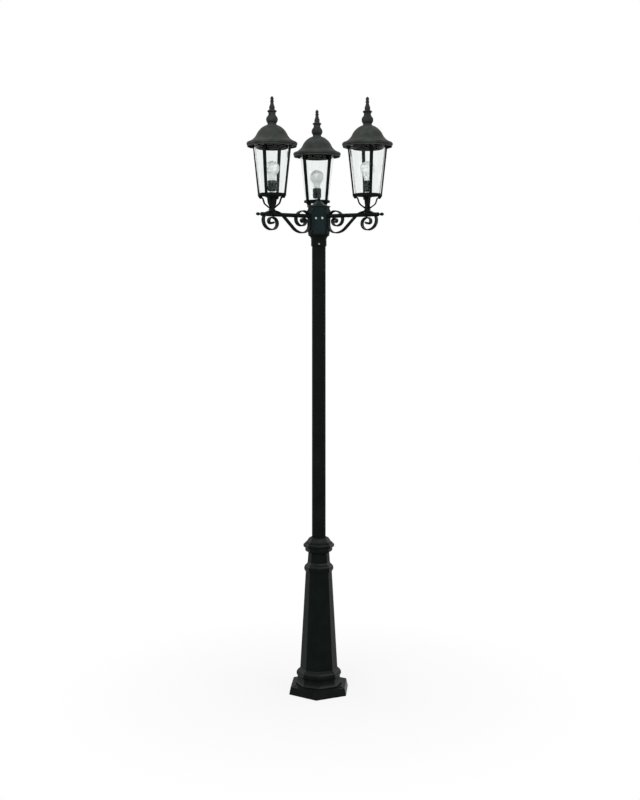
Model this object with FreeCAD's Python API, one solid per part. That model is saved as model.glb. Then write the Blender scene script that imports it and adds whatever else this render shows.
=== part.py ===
"""Garden lamp post with three lanterns on scrolled arms, in millimetres, +Z up.

The origin is the middle of the ground anchor circle, on the underside of the foot plate.
Seen from the front, along +Y, one arm points away and the other two come forward left and right.
"""
import FreeCAD, Part

import math
import os

from FreeCAD import Vector

UP = Vector(0, 0, 1)
OUT = Vector(1, 0, 0)
ACROSS = Vector(0, 1, 0)
CENTRE = Vector(0, 0, 0)
FRONT = 270.0
QUARTER = 90.0
SAME_POINT = 1e-6
NUT_SIDES = 6

# Foot plate and ground anchors
PLATE_SIDES = 6
PLATE_CORNER_LOW = 134.0
PLATE_CORNER_HIGH = 127.0
PLATE_HEIGHT = 30.0
PLATE_TURN = -6.4
PLATE_WELL = 68.0
ANCHOR_CIRCLE = 216.0
ANCHOR_HOLE = 12.0
ANCHOR_COUNT = 3

# Eight-sided pedestal: radii run from the axis to a corner
PEDESTAL_SIDES = 8
FOOT_CORNER = 95.0
FOOT_EDGE = 4.0
FOOT_COVE = 88.5
FOOT_COVE_HEIGHT = 16.5
FOOT_WAIST = 87.0
FOOT_BAND = 3.0
FOOT_HEIGHT = 30.0
TORUS_CORNER = 91.7
TORUS_CROWN = 13.7
TORUS_TOP = 80.4
TORUS_HEIGHT = 36.0
FILLET_HEIGHT = 4.0
SHAFT_CORNER_LOW = 76.4
SHAFT_CORNER_HIGH = 53.8
SHAFT_HEIGHT = 393.0
RING_CORNER = 59.9
RING_TOP = 49.0
RING_HEIGHT = 37.0
NECK_FOOT = 2.0
NECK_CORNER_LOW = 46.0
NECK_CORNER_HIGH = 43.0
NECK_HEIGHT = 43.0
PEDESTAL_WALL = 7.0
PEDESTAL_FLANGE = 14.0
PEDESTAL_SPIGOT = 14.0

# Screws between foot plate and pedestal
PLATE_SCREW = 8.0
PLATE_SCREW_HEAD = 13.0
PLATE_SCREW_HEAD_HEIGHT = 5.0
PLATE_SCREW_COUNT = 4
THREAD_BITE = 10.0

# Collar round the pole on top of the pedestal
COLLAR_SEAT = 45.0
COLLAR_BEAD = 55.8
COLLAR_BEAD_HEIGHT = 17.4
COLLAR_QUIRK = 1.0
COLLAR_CORNER = 63.8
COLLAR_SWELL_HEIGHT = 21.0
COLLAR_FILLET = 3.0
COLLAR_STEP = 50.0
COLLAR_COVE = 44.0
COLLAR_COVE_RISE = 9.0
COLLAR_COVE_TOP = 38.0
COLLAR_TOP = 32.0
COLLAR_TOP_FILLET = 4.0
COLLAR_HEIGHT = 62.0

# Pole
POLE_DIAMETER = 56.4
POLE_WALL = 5.0
POLE_FLUTES = 16
FLUTE_RADIUS = 4.2
FLUTE_DEPTH = 1.7
POLE_SEAT_DEPTH = 100.0
POLE_LEDGE = 5.0
POLE_LEDGE_HEIGHT = 10.0
POLE_LEDGE_RELIEF = 1.0
POLE_VISIBLE = 1196.0
SLIP = 0.3
GRUB_SCREW = 8.0
GRUB_COUNT = 4

# Neck socket of the head
SOCKET_RADIUS = 32.0
SOCKET_STRAIGHT = 24.0
SOCKET_FLARE = 19.0
SOCKET_FLARE_WAIST = 34.0
SOCKET_FLARE_WAIST_HEIGHT = 11.4
SOCKET_FLARE_RADIUS = 40.0
SOCKET_LIP = 44.0
SOCKET_EDGE = 1.5
SOCKET_LIP_HEIGHT = 8.0
SOCKET_LIP_CROWN = 2.8
SOCKET_LIP_TOP = 41.0
SOCKET_GROOVES = 12
SOCKET_GROOVE_RADIUS = 4.5
SOCKET_GROOVE_DEPTH = 1.3
SOCKET_SCREW_HEIGHT = 9.0
FLUTE_HIDDEN = 3.0
SOCKET_SCREW = 6.0
SOCKET_SCREW_HEAD = 9.0
SOCKET_SCREW_HEAD_HEIGHT = 3.5

# Hub
HUB_SIDES = 6
HUB_CORNER = 44.5
HUB_HEIGHT = 110.0
HUB_WALL = 6.0
HUB_FLOOR = 8.0
HUB_CABLE_HOLE = 30.0
HUB_SCREW = 6.0
HUB_SCREW_HEAD = 10.5
HUB_SCREW_HEAD_HEIGHT = 3.5
HUB_SCREW_SHOULDER = 4.2
HUB_SCREW_SHOULDER_HEIGHT = 2.6
HUB_SCREW_FLAT = 1.6
HUB_SCREW_SPACING = 26.0
HUB_SCREW_HEIGHT = 63.0
CAP_OVERHANG = 3.0
CAP_LIP = 5.0
CAP_LIP_BULGE = 1.0
CAP_LIP_TOP = 1.5
CAP_SWEEP = 21.6
CAP_SWEEP_HEIGHT = 7.7
CAP_RISE = 22.0
CAP_SPIGOT = 4.0
CAP_WALL = 4.0
CAP_HOLLOW_SHOULDER = 16.2
CAP_HOLLOW_SHOULDER_HEIGHT = 6.6
CAP_HOLLOW_HEIGHT = 13.2
CAP_NECK = 9.0
KNOB_RADIUS = 6.5
KNOB_STUD = 6.0
KNOB_FOOT = 1.5

# Wiring shelf and terminal block inside the hub
SHELF_THICKNESS = 2.0
SHELF_TAB_WIDTH = 36.0
SHELF_DROP = 8.0
SHELF_CABLE_HOLE = 9.0
SHELF_CABLE_CIRCLE = 17.0
TERMINAL_LENGTH = 34.0
TERMINAL_WIDTH = 14.0
TERMINAL_HEIGHT = 16.0
TERMINAL_WAYS = 3
TERMINAL_BORE = 4.5

# Arms
ARM_COUNT = 3
ARM_FIRST_ANGLE = 90.0
ARM_REACH = 222.0
ARM_HEIGHT = 72.0
ROD_DIAMETER = 16.5
ROD_BORE = 11.0
ROD_OVERHANG = 49.0
ROD_START = 22.0
LOCKNUT_ACROSS = 24.0
LOCKNUT_THICKNESS = 5.0
ROD_FIT = 0.05
ARM_PLATE_WIDTH = 40.0
ARM_PLATE_HEIGHT = 104.0
ARM_PLATE_THICKNESS = 5.0
ARM_PLATE_SCOOP = 8.0
TIP_COLLAR = 6.5
TIP_COLLAR_LENGTH = 2.0
TIP_NECK = 3.4
TIP_NECK_MIDDLE = 4.3
TIP_NECK_END = 7.2
TIP_SPEAR = 6.6
TIP_SPEAR_MIDDLE = 13.2
TIP_POINT = 1.5
TIP_LENGTH = 24.0
TIP_TENON = 8.0

# Scroll strip of an arm: radii of its bends, from the crest under the lantern
STRIP_THICKNESS = 5.0
STRIP_WIDTH = 22.0
CREST_HEIGHT = 14.5
OUTER_BENDS = ((42.7, 45), (34.0, 45), (39.0, 90), (25.0, 90), (24.5, 90), (14.5, 90), (11.0, 90),
               (9.0, 60))
SHOULDER_BEND = 81.6
SCROLL_SLOPE = 45.0
BELLY_BEND = 60.0
HUB_BEND = 33.5
HUB_ARCH_BEND = 30.0
HUB_ARCH_HEIGHT = 20.0
INNER_BENDS = ((34.0, 90), (27.0, 90), (19.0, 90), (11.0, 90), (8.0, 90), (6.0, 90))
EYE_RADIUS = 4.0

# Lantern seat on the arm; each lantern stands turned a little on its nipple
LANTERN_TURNS = {"back": -2.0, "left": -8.0, "right": -7.0}
SADDLE_RADIUS = 11.0
NIPPLE_DIAMETER = 10.0
NIPPLE_BORE = 7.0
NIPPLE_LENGTH = 56.0
NIPPLE_REACH = 3.0
SEAT_GAP = 0.3

# Lantern stem
STEM_FOOT = 14.0
STEM_FOOT_HEIGHT = 3.0
STEM_FOOT_BEVEL = 1.5
STEM_NECK = 11.0
STEM_KNUCKLE = 13.6
STEM_KNUCKLE_HALF = 5.0
STEM_KNUCKLE_HEIGHT = 11.0
STEM_WAIST = 10.3
STEM_WAIST_HEIGHT = 20.0
STEM_TOP = 13.2
STEM_TOP_HEIGHT = 48.1
STEM_COVE = 14.2
STEM_COVE_HEIGHT = 54.5
STEM_FLARE = 20.0
STEM_HEIGHT = 58.0
STEM_BORE_HEIGHT = 52.2
SPIGOT_RADIUS = 6.0
SPIGOT_WALL = 2.2
SPIGOT_LENGTH = 20.0

# Lantern frame: gallery ring, four bars and four legs
FRAME_BARS = 4
FRAME_TURN = 45.0
GALLERY_RADIUS = 56.0
GALLERY_FLOOR = 4.0
GALLERY_HEIGHT = 9.0
GALLERY_EDGE = 1.0
GLASS_CLEARANCE = 1.5
BAR_THICKNESS = 4.5
BAR_WIDTH_LOW = 11.0
BAR_WIDTH_HIGH = 14.0
BAR_SPREAD = 20.5
BAR_FLARE_BEND = 7.0
BAR_FOOT_BEND = 7.0
BAR_BITE = 0.5
BAR_LAP = 1.0
KNOB_RUN = 6.0
FOOT_KNOB_RADIUS = 5.5
LEG_THICKNESS = 5.0
LEG_WIDTH = 7.0
LEG_HEADING = 190.0
LEG_INSET = 4.0
LEG_DROP = 1.0
LEG_BEND_HIGH = 8.5
LEG_TURN_HIGH = 62.0
LEG_RUN = 14.0
LEG_BEND_LOW = 20.0
LEG_TURN_LOW = -34.0
SCREW_TAB = 10.0
ROOF_SCREW = 5.0
ROOF_SCREW_HEAD = 9.0
ROOF_SCREW_HEAD_HEIGHT = 3.0

# Glass, lampholder and bulb
GLASS_RADIUS_LOW = 50.0
GLASS_RADIUS_HIGH = 73.0
GLASS_HEIGHT = 196.0
GLASS_WALL = 3.0
HOLDER_DIAMETER = 36.0
HOLDER_HEIGHT = 43.0
HOLDER_LIFT = 14.0
HOLDER_FOOT_INSET = 5.0
HOLDER_FOOT_ARC = 3.0
HOLDER_FOOT_HEIGHT = 8.0
HOLDER_EDGE = 2.0
HOLDER_CABLE_HOLE = 6.0
BULB_CAP_DIAMETER = 26.4
BULB_CAP_LENGTH = 26.0
BULB_CONTACT_RADIUS = 4.0
BULB_CONTACT_BEVEL = 1.0
BULB_CONTACT_HEIGHT = 1.5
BULB_FOOT_INSET = 2.5
BULB_FOOT_HEIGHT = 4.0
BULB_THREAD_START = 5.0
BULB_THREAD_DEPTH = 1.0
BULB_THREAD_PITCH = 3.6
BULB_THREAD_TURNS = 5
BULB_CLEARANCE = 0.4
BULB_LIFT = 1.0
BULB_DIAMETER = 60.0
BULB_RISE = 79.0
BULB_NECK_SWELL = 1.2
BULB_NECK_HEIGHT = 6.0
BULB_SHOULDER_SWELL = 3.5
BULB_SHOULDER_RAISE = 3.0
BULB_SHOULDER_DROP = 21.6

# Roof, heat shield and finial
ROOF_SEAT = 202.0
ROOF_RADIUS = 102.5
ROOF_RADIUS_HEIGHT = 5.8
ROOF_LIP = 99.5
ROOF_LIP_HEIGHT = 13.3
ROOF_LIP_INSET = 1.0
ROOF_DRIP = 5.0
ROOF_DRIP_WALL = 2.5
ROOF_COVE = 77.0
ROOF_COVE_HEIGHT = 24.9
ROOF_SHOULDER = 63.5
ROOF_SHOULDER_HEIGHT = 41.5
ROOF_DOME = 47.5
ROOF_DOME_HEIGHT = 65.6
ROOF_CROWN = 29.0
ROOF_CROWN_HEIGHT = 78.9
ROOF_TOP = 19.0
ROOF_HEIGHT = 83.0
ROOF_WALL = 3.0
ROOF_FLANGE_WIDTH = 22.5
SHIELD_RADIUS = 60.0
SHIELD_DROP = 12.0
SHIELD_DISH = 3.0
SHIELD_WALL = 1.5
SHIELD_POST = 7.0
SHIELD_POST_SPACING = 44.0
SHIELD_STRAP_WIDTH = 16.0
SHIELD_STRAP = 2.0
SHIELD_STRAP_INSET = 6.0
FINIAL_STUD = 8.0
FINIAL_STUD_LENGTH = 10.0
FINIAL_HEIGHT = 116.0

# Mouldings of the finial: radius, and level as a share of its height
FINIAL_WAIST = (18.0, 0.03)
FINIAL_FOOT = (ROOF_TOP, 0.07)
FINIAL_BELLY = (23.4, 0.155)
FINIAL_SHOULDER = (18.4, 0.3)
FINIAL_NECK = (14.5, 0.37)
FINIAL_THROAT = (15.5, 0.43)
FINIAL_RING = (19.0, 0.46)
FINIAL_RING_TOP = (19.0, 0.485)
FINIAL_VASE_FOOT = (10.5, 0.53)
FINIAL_VASE = (11.5, 0.59)
FINIAL_VASE_TOP = (8.5, 0.68)
FINIAL_STALK = (5.75, 0.78)
FINIAL_BEAD = (8.0, 0.82)
FINIAL_BEAD_TOP = (4.8, 0.85)
FINIAL_BUD = (7.0, 0.91)
FINIAL_TIP = (1.2, 0.99)

# Heights that follow from the sizes above
pedestal_base = PLATE_HEIGHT
torus_base = pedestal_base + FOOT_HEIGHT
shaft_base = torus_base + TORUS_HEIGHT
ring_base = shaft_base + SHAFT_HEIGHT
neck_base = ring_base + RING_HEIGHT
collar_base = neck_base + NECK_HEIGHT
pedestal_top = collar_base + PEDESTAL_SPIGOT
collar_top = collar_base + COLLAR_HEIGHT
pole_base = pedestal_top - POLE_SEAT_DEPTH
socket_base = collar_top + POLE_VISIBLE
hub_base = socket_base + SOCKET_STRAIGHT + SOCKET_FLARE + SOCKET_LIP_HEIGHT
hub_top = hub_base + HUB_HEIGHT
arm_level = hub_base + ARM_HEIGHT
stem_base = arm_level + CREST_HEIGHT + STRIP_THICKNESS / 2 + SEAT_GAP
floor_base = stem_base + STEM_HEIGHT
floor_top = floor_base + GALLERY_FLOOR
holder_base = floor_top + HOLDER_LIFT
holder_top = holder_base + HOLDER_HEIGHT
roof_base = floor_base + ROOF_SEAT
roof_top = roof_base + ROOF_HEIGHT
shelf_level = arm_level - LOCKNUT_ACROSS / math.sqrt(3) - SHELF_DROP
pole_radius = POLE_DIAMETER / 2
hub_face = HUB_CORNER * math.cos(math.pi / HUB_SIDES)
arm_face = hub_face + ARM_PLATE_THICKNESS
rod_end = ARM_REACH + ROD_OVERHANG
knob_reach = GALLERY_RADIUS - KNOB_RUN
arm_angles = [ARM_FIRST_ANGLE + 360.0 * i / ARM_COUNT for i in range(ARM_COUNT)]
arm_names = ["back", "left", "right"]
blank_angles = [angle + 180.0 for angle in arm_angles]


def outline_edges(points):
    """Edges of a closed outline in the XZ plane, first the one that ends at the first point.
    (x, z) is a straight side, (x1, z1, x, z) an arc through x1, z1."""
    edges = []
    last = Vector(points[-1][-2], 0, points[-1][-1])
    for point in points:
        end = Vector(point[-2], 0, point[-1])
        if len(point) == 4:
            middle = Vector(point[0], 0, point[1])
            edges.append(Part.Arc(last, middle, end).toShape())
        elif (end - last).Length > SAME_POINT:
            edges.append(Part.LineSegment(last, end).toShape())
        last = end
    return edges


def turned(points):
    """Solid turned round the Z axis from a closed outline."""
    face = Part.Face(Part.Wire(outline_edges(points)))
    return face.revolve(CENTRE, UP, 360)


def mitred(points, sides, face_angle):
    """Solid with an even number of flat sides whose mouldings meet in mitres. The outline starts and
    ends on the axis, and its x values are distances from the axis to the faces."""
    reach = 2 * max(point[-2] for point in points)
    right = outline_edges(points)[1:]
    left = [edge.mirror(CENTRE, OUT) for edge in right]
    section = Part.Face(Part.Wire(Part.__sortEdges__(right + left)))
    solid = None
    for i in range(sides // 2):
        slab = section.extrude(Vector(0, 2 * reach, 0))
        slab.translate(Vector(0, -reach, 0))
        slab.rotate(CENTRE, UP, face_angle + 360.0 * i / sides)
        solid = slab if solid is None else solid.common(slab)
    return solid.Solids[0]


def ball_radius_at(ball_radius, offset):
    """Radius of a ball's section at a distance from its middle."""
    return math.sqrt(ball_radius ** 2 - offset ** 2)


def rod(diameter, length, place=CENTRE, direction=UP):
    return Part.makeCylinder(diameter / 2, length, place, direction)


def polygon(corner, sides, first, height):
    """Closed wire with equal sides at a height. Its first corner lies at the angle first."""
    points = []
    for angle in even_angles(sides, first):
        turn = math.radians(angle)
        points.append(Vector(corner * math.cos(turn), corner * math.sin(turn), height))
    return Part.makePolygon(points + points[:1])


def nut(across, thickness, hole, place, direction):
    """Hexagonal nut with a plain hole, one face at place."""
    outline = polygon(across / math.sqrt(3), NUT_SIDES, 0.0, 0.0)
    body = Part.Face(outline).extrude(Vector(0, 0, thickness))
    body = body.cut(rod(hole, thickness))
    body.Placement = FreeCAD.Placement(place, FreeCAD.Rotation(UP, direction))
    return body


def at_angle(shape, angle, radius=0.0):
    """Copy of a shape built on the X axis, moved out by radius and swung round Z to angle."""
    copy = shape.copy()
    copy.translate(Vector(radius, 0, 0))
    copy.rotate(CENTRE, UP, angle)
    return copy


def ring_of(shape, angles, radius=0.0):
    return [at_angle(shape, angle, radius) for angle in angles]


def even_angles(count, first=0.0):
    return [first + 360.0 * i / count for i in range(count)]


def first_point(edge):
    return edge.valueAt(edge.FirstParameter)


def last_point(edge):
    return edge.valueAt(edge.LastParameter)


def strip(start, heading, moves, thickness, width):
    """Flat strip bent in the XZ plane. A move is (length,) for a straight run or (radius, degrees)
    for a bend, to the left if the degrees are positive. Returns the solid and its end point."""
    x, z = start
    angle = math.radians(heading)
    left = []
    right = []

    def beside(px, pz, direction, offset):
        return Vector(px - offset * math.sin(direction), 0, pz + offset * math.cos(direction))

    for move in moves:
        if len(move) == 1:
            end_x = x + move[0] * math.cos(angle)
            end_z = z + move[0] * math.sin(angle)
            for side, offset in ((left, thickness / 2), (right, -thickness / 2)):
                first = beside(x, z, angle, offset)
                last = beside(end_x, end_z, angle, offset)
                side.append(Part.LineSegment(first, last).toShape())
            x, z = end_x, end_z
            continue
        radius = move[0]
        turn = math.radians(move[1])
        way = 1 if turn > 0 else -1
        centre_x = x - way * radius * math.sin(angle)
        centre_z = z + way * radius * math.cos(angle)
        stations = [angle, angle + turn / 2, angle + turn]
        path = [(centre_x + way * radius * math.sin(a), centre_z - way * radius * math.cos(a))
                for a in stations]
        for side, offset in ((left, thickness / 2), (right, -thickness / 2)):
            three = [beside(px, pz, a, offset) for (px, pz), a in zip(path, stations)]
            side.append(Part.Arc(*three).toShape())
        x, z = path[-1]
        angle = angle + turn
    head = Part.makeLine(first_point(right[0]), first_point(left[0]))
    tail = Part.makeLine(last_point(left[-1]), last_point(right[-1]))
    edges = Part.__sortEdges__(left + right + [head, tail])
    solid = Part.Face(Part.Wire(edges)).extrude(Vector(0, width, 0))
    solid.translate(Vector(0, -width / 2, 0))
    return solid, (x, z)


def foot_plate():
    first = FRONT + PLATE_TURN
    low = polygon(PLATE_CORNER_LOW, PLATE_SIDES, first, 0.0)
    high = polygon(PLATE_CORNER_HIGH, PLATE_SIDES, first, PLATE_HEIGHT)
    plate = Part.makeLoft([low, high], True, True)
    plate = plate.cut(rod(2 * PLATE_WELL, PLATE_HEIGHT))
    hole = rod(ANCHOR_HOLE, PLATE_HEIGHT)
    anchor_angles = even_angles(ANCHOR_COUNT, first + 360.0 / PLATE_SIDES)
    for shape in ring_of(hole, anchor_angles, ANCHOR_CIRCLE / 2):
        plate = plate.cut(shape)
    for shape in ring_of(plate_screw_space(), plate_screw_angles(), plate_screw_circle()):
        plate = plate.cut(shape)
    return plate


def plate_screw_angles():
    return even_angles(PLATE_SCREW_COUNT, 180.0 / PLATE_SCREW_COUNT)


def plate_screw_circle():
    """The screws stand midway between the well and the pedestal's faces."""
    face = FOOT_WAIST * math.cos(math.pi / PEDESTAL_SIDES)
    return (PLATE_WELL + face) / 2


def plate_screw_space():
    shank = rod(PLATE_SCREW + 2 * SLIP, PLATE_HEIGHT)
    sink = rod(PLATE_SCREW_HEAD + 2 * SLIP, PLATE_SCREW_HEAD_HEIGHT + SLIP)
    return shank.fuse(sink)


def plate_screws():
    head = rod(PLATE_SCREW_HEAD, PLATE_SCREW_HEAD_HEIGHT, Vector(0, 0, SLIP))
    shank = rod(PLATE_SCREW, PLATE_HEIGHT - SLIP + THREAD_BITE, Vector(0, 0, SLIP))
    screw = head.fuse(shank).removeSplitter()
    return Part.makeCompound(ring_of(screw, plate_screw_angles(), plate_screw_circle()))


def eight_sided(points):
    """Moulded solid of the pedestal's eight sides. The outline's x values run to the corners."""
    face = math.cos(math.pi / PEDESTAL_SIDES)
    to_faces = []
    for point in points:
        scaled = [value * face if i % 2 == 0 else value for i, value in enumerate(point)]
        to_faces.append(tuple(scaled))
    return mitred(to_faces, PEDESTAL_SIDES, 180.0 / PEDESTAL_SIDES)


def pedestal():
    face = math.cos(math.pi / PEDESTAL_SIDES)
    body = eight_sided([
        (0, pedestal_base),
        (FOOT_CORNER, pedestal_base),
        (FOOT_CORNER, pedestal_base + FOOT_EDGE),
        (FOOT_COVE, pedestal_base + FOOT_COVE_HEIGHT, FOOT_WAIST, torus_base - FOOT_BAND),
        (FOOT_WAIST, torus_base),
        (TORUS_CORNER, torus_base + TORUS_CROWN, TORUS_TOP, shaft_base - FILLET_HEIGHT),
        (SHAFT_CORNER_LOW, shaft_base),
        (SHAFT_CORNER_HIGH, ring_base),
        (RING_CORNER, ring_base + RING_HEIGHT / 2, RING_TOP, neck_base - FILLET_HEIGHT),
        (NECK_CORNER_LOW, neck_base + NECK_FOOT),
        (NECK_CORNER_HIGH, collar_base),
        (NECK_CORNER_HIGH, pedestal_top),
        (0, pedestal_top),
    ])
    hollow = turned([
        (0, pedestal_base),
        (PLATE_WELL, pedestal_base),
        (PLATE_WELL, pedestal_base + PEDESTAL_FLANGE),
        (SHAFT_CORNER_LOW * face - PEDESTAL_WALL, pedestal_base + PEDESTAL_FLANGE),
        (SHAFT_CORNER_LOW * face - PEDESTAL_WALL, shaft_base),
        (pole_radius + SLIP + POLE_LEDGE_RELIEF, pole_base - POLE_LEDGE_HEIGHT),
        (pole_radius - POLE_LEDGE, pole_base - POLE_LEDGE_HEIGHT),
        (pole_radius - POLE_LEDGE, pole_base),
        (pole_radius + SLIP, pole_base),
        (pole_radius + SLIP, pedestal_top),
        (0, pedestal_top),
    ])
    body = body.cut(hollow)
    thread = rod(PLATE_SCREW, THREAD_BITE, Vector(0, 0, pedestal_base))
    for screw in ring_of(thread, plate_screw_angles(), plate_screw_circle()):
        body = body.cut(screw)
    for screw in ring_of(grub_screw(), grub_angles()):
        body = body.cut(screw)
    return body


def grub_angles():
    return even_angles(GRUB_COUNT, 180.0 / PEDESTAL_SIDES)


def grub_screw():
    """Grub screw under the collar: it ends flush with the pedestal's spigot and just meets the pole."""
    face = NECK_CORNER_HIGH * math.cos(math.pi / PEDESTAL_SIDES)
    level = collar_base + PEDESTAL_SPIGOT / 2
    length = face - pole_radius
    return rod(GRUB_SCREW, length, Vector(pole_radius, 0, level), OUT)


def grub_screws():
    return Part.makeCompound(ring_of(grub_screw(), grub_angles()))


def base_collar():
    """Moulded collar. Its round top is drawn through the middles of the faces."""
    face = math.cos(math.pi / PEDESTAL_SIDES)
    bead_top = collar_base + COLLAR_BEAD_HEIGHT
    swell_top = bead_top + COLLAR_SWELL_HEIGHT
    step = swell_top + 2 * COLLAR_FILLET
    body = eight_sided([
        (0, collar_base),
        (COLLAR_SEAT, collar_base),
        (COLLAR_BEAD, (collar_base + bead_top) / 2, COLLAR_BEAD - COLLAR_QUIRK, bead_top),
        (COLLAR_CORNER, (bead_top + swell_top) / 2, COLLAR_BEAD, swell_top),
        (COLLAR_BEAD, swell_top + COLLAR_FILLET),
        (COLLAR_STEP, step),
        (COLLAR_COVE, step + COLLAR_COVE_RISE, COLLAR_COVE_TOP / face, collar_top - COLLAR_TOP_FILLET),
        (COLLAR_TOP / face, collar_top),
        (0, collar_top),
    ])
    body = body.cut(rod(POLE_DIAMETER + 2 * SLIP, COLLAR_HEIGHT, Vector(0, 0, collar_base)))
    pocket = eight_sided([
        (0, collar_base),
        (NECK_CORNER_HIGH + SLIP / face, collar_base),
        (NECK_CORNER_HIGH + SLIP / face, pedestal_top + SLIP),
        (0, pedestal_top + SLIP),
    ])
    return body.cut(pocket)


def pole():
    length = hub_base - pole_base
    tube = rod(POLE_DIAMETER, length, Vector(0, 0, pole_base))
    tube = tube.cut(rod(POLE_DIAMETER - 2 * POLE_WALL, length, Vector(0, 0, pole_base)))
    flute_length = socket_base + FLUTE_HIDDEN - pedestal_top
    flute = rod(2 * FLUTE_RADIUS, flute_length, Vector(0, 0, pedestal_top))
    out = pole_radius + FLUTE_RADIUS - FLUTE_DEPTH
    flutes = ring_of(flute, even_angles(POLE_FLUTES, FRONT + 180.0 / POLE_FLUTES), out)
    return tube.cut(Part.makeCompound(flutes))


def neck_socket():
    bore = pole_radius + SLIP
    flare_base = socket_base + SOCKET_STRAIGHT
    lip_base = flare_base + SOCKET_FLARE
    body = turned([
        (bore, socket_base),
        (SOCKET_RADIUS - SOCKET_EDGE, socket_base),
        (SOCKET_RADIUS, socket_base + SOCKET_EDGE),
        (SOCKET_RADIUS, flare_base),
        (SOCKET_FLARE_WAIST, flare_base + SOCKET_FLARE_WAIST_HEIGHT, SOCKET_FLARE_RADIUS, lip_base),
        (SOCKET_LIP, lip_base + SOCKET_LIP_CROWN, SOCKET_LIP_TOP, hub_base),
        (bore, hub_base),
    ])
    groove_base = socket_base + SOCKET_EDGE
    groove_top = flare_base - SOCKET_GROOVE_RADIUS
    groove = rod(2 * SOCKET_GROOVE_RADIUS, groove_top - groove_base, Vector(0, 0, groove_base))
    groove = groove.fuse(Part.makeSphere(SOCKET_GROOVE_RADIUS, Vector(0, 0, groove_top)))
    out = SOCKET_RADIUS + SOCKET_GROOVE_RADIUS - SOCKET_GROOVE_DEPTH
    for shape in ring_of(groove, even_angles(SOCKET_GROOVES, FRONT + 180.0 / SOCKET_GROOVES), out):
        body = body.cut(shape)
    for screw in ring_of(socket_screw(), blank_angles):
        body = body.cut(screw)
    return body


def socket_screw():
    level = socket_base + SOCKET_SCREW_HEIGHT
    bore = pole_radius + SLIP
    shank = rod(SOCKET_SCREW, SOCKET_RADIUS - bore, Vector(bore, 0, level), OUT)
    head = rod(SOCKET_SCREW_HEAD, SOCKET_SCREW_HEAD_HEIGHT, Vector(SOCKET_RADIUS, 0, level), OUT)
    return shank.fuse(head).removeSplitter()


def socket_screws():
    return Part.makeCompound(ring_of(socket_screw(), blank_angles))


def hexagon_bar(corner, low, high):
    face = corner * math.cos(math.pi / HUB_SIDES)
    return mitred([(0, low), (face, low), (face, high), (0, high)], HUB_SIDES, 180.0 / HUB_SIDES)


def hub_screw(offset):
    level = hub_base + HUB_SCREW_HEIGHT
    inside = hub_face - HUB_WALL - SHELF_THICKNESS
    shank = rod(HUB_SCREW, hub_face - inside, Vector(inside, offset, level), OUT)
    head = turned([
        (0, 0),
        (HUB_SCREW_HEAD / 2, 0),
        (HUB_SCREW_SHOULDER, HUB_SCREW_SHOULDER_HEIGHT, HUB_SCREW_FLAT, HUB_SCREW_HEAD_HEIGHT),
        (0, HUB_SCREW_HEAD_HEIGHT),
    ])
    head.rotate(CENTRE, ACROSS, QUARTER)
    head.translate(Vector(hub_face, offset, level))
    return shank.fuse(head)


def hub_screws():
    screws = []
    for offset in (-HUB_SCREW_SPACING / 2, HUB_SCREW_SPACING / 2):
        screws += ring_of(hub_screw(offset), blank_angles)
    return screws


def hub_body():
    body = hexagon_bar(HUB_CORNER, hub_base, hub_top)
    wall = HUB_WALL / math.cos(math.pi / HUB_SIDES)
    body = body.cut(hexagon_bar(HUB_CORNER - wall, hub_base + HUB_FLOOR, hub_top))
    body = body.cut(rod(HUB_CABLE_HOLE, HUB_FLOOR, Vector(0, 0, hub_base)))
    bore = rod(ROD_DIAMETER + 2 * ROD_FIT, HUB_CORNER, Vector(0, 0, arm_level), OUT)
    for shape in ring_of(bore, arm_angles):
        body = body.cut(shape)
    for screw in hub_screws():
        body = body.cut(screw)
    return body


def hub_cap():
    rim = hub_face + CAP_OVERHANG
    inner = hub_face - HUB_WALL - SLIP
    lip_top = hub_top + CAP_LIP
    body = mitred([
        (0, hub_top),
        (rim - CAP_LIP_BULGE, hub_top),
        (rim + CAP_LIP_BULGE, hub_top + CAP_LIP / 2, rim - CAP_LIP_TOP, lip_top),
        (CAP_SWEEP, lip_top + CAP_SWEEP_HEIGHT, CAP_NECK, lip_top + CAP_RISE),
        (0, lip_top + CAP_RISE),
    ], HUB_SIDES, 180.0 / HUB_SIDES)
    spigot = hexagon_bar(inner / math.cos(math.pi / HUB_SIDES), hub_top - CAP_SPIGOT, hub_top)
    hollow = turned([
        (0, hub_top - CAP_SPIGOT),
        (inner - CAP_WALL, hub_top - CAP_SPIGOT),
        (inner - CAP_WALL, hub_top),
        (CAP_HOLLOW_SHOULDER, hub_top + CAP_HOLLOW_SHOULDER_HEIGHT),
        (0, hub_top + CAP_HOLLOW_HEIGHT),
    ])
    body = body.fuse(spigot).removeSplitter().cut(hollow)
    return body.cut(rod(KNOB_STUD, CAP_LIP + CAP_RISE, Vector(0, 0, hub_top)))


def cap_knob():
    """Ball knob with the long stud that holds the cap down on the wiring shelf."""
    seat = hub_top + CAP_LIP + CAP_RISE
    middle = seat + KNOB_RADIUS
    foot = ball_radius_at(KNOB_RADIUS, KNOB_FOOT - KNOB_RADIUS)
    return turned([
        (0, shelf_level),
        (KNOB_STUD / 2, shelf_level),
        (KNOB_STUD / 2, seat),
        (foot, seat),
        (foot, seat + KNOB_FOOT),
        (KNOB_RADIUS, middle, 0, middle + KNOB_RADIUS),
    ])


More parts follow.
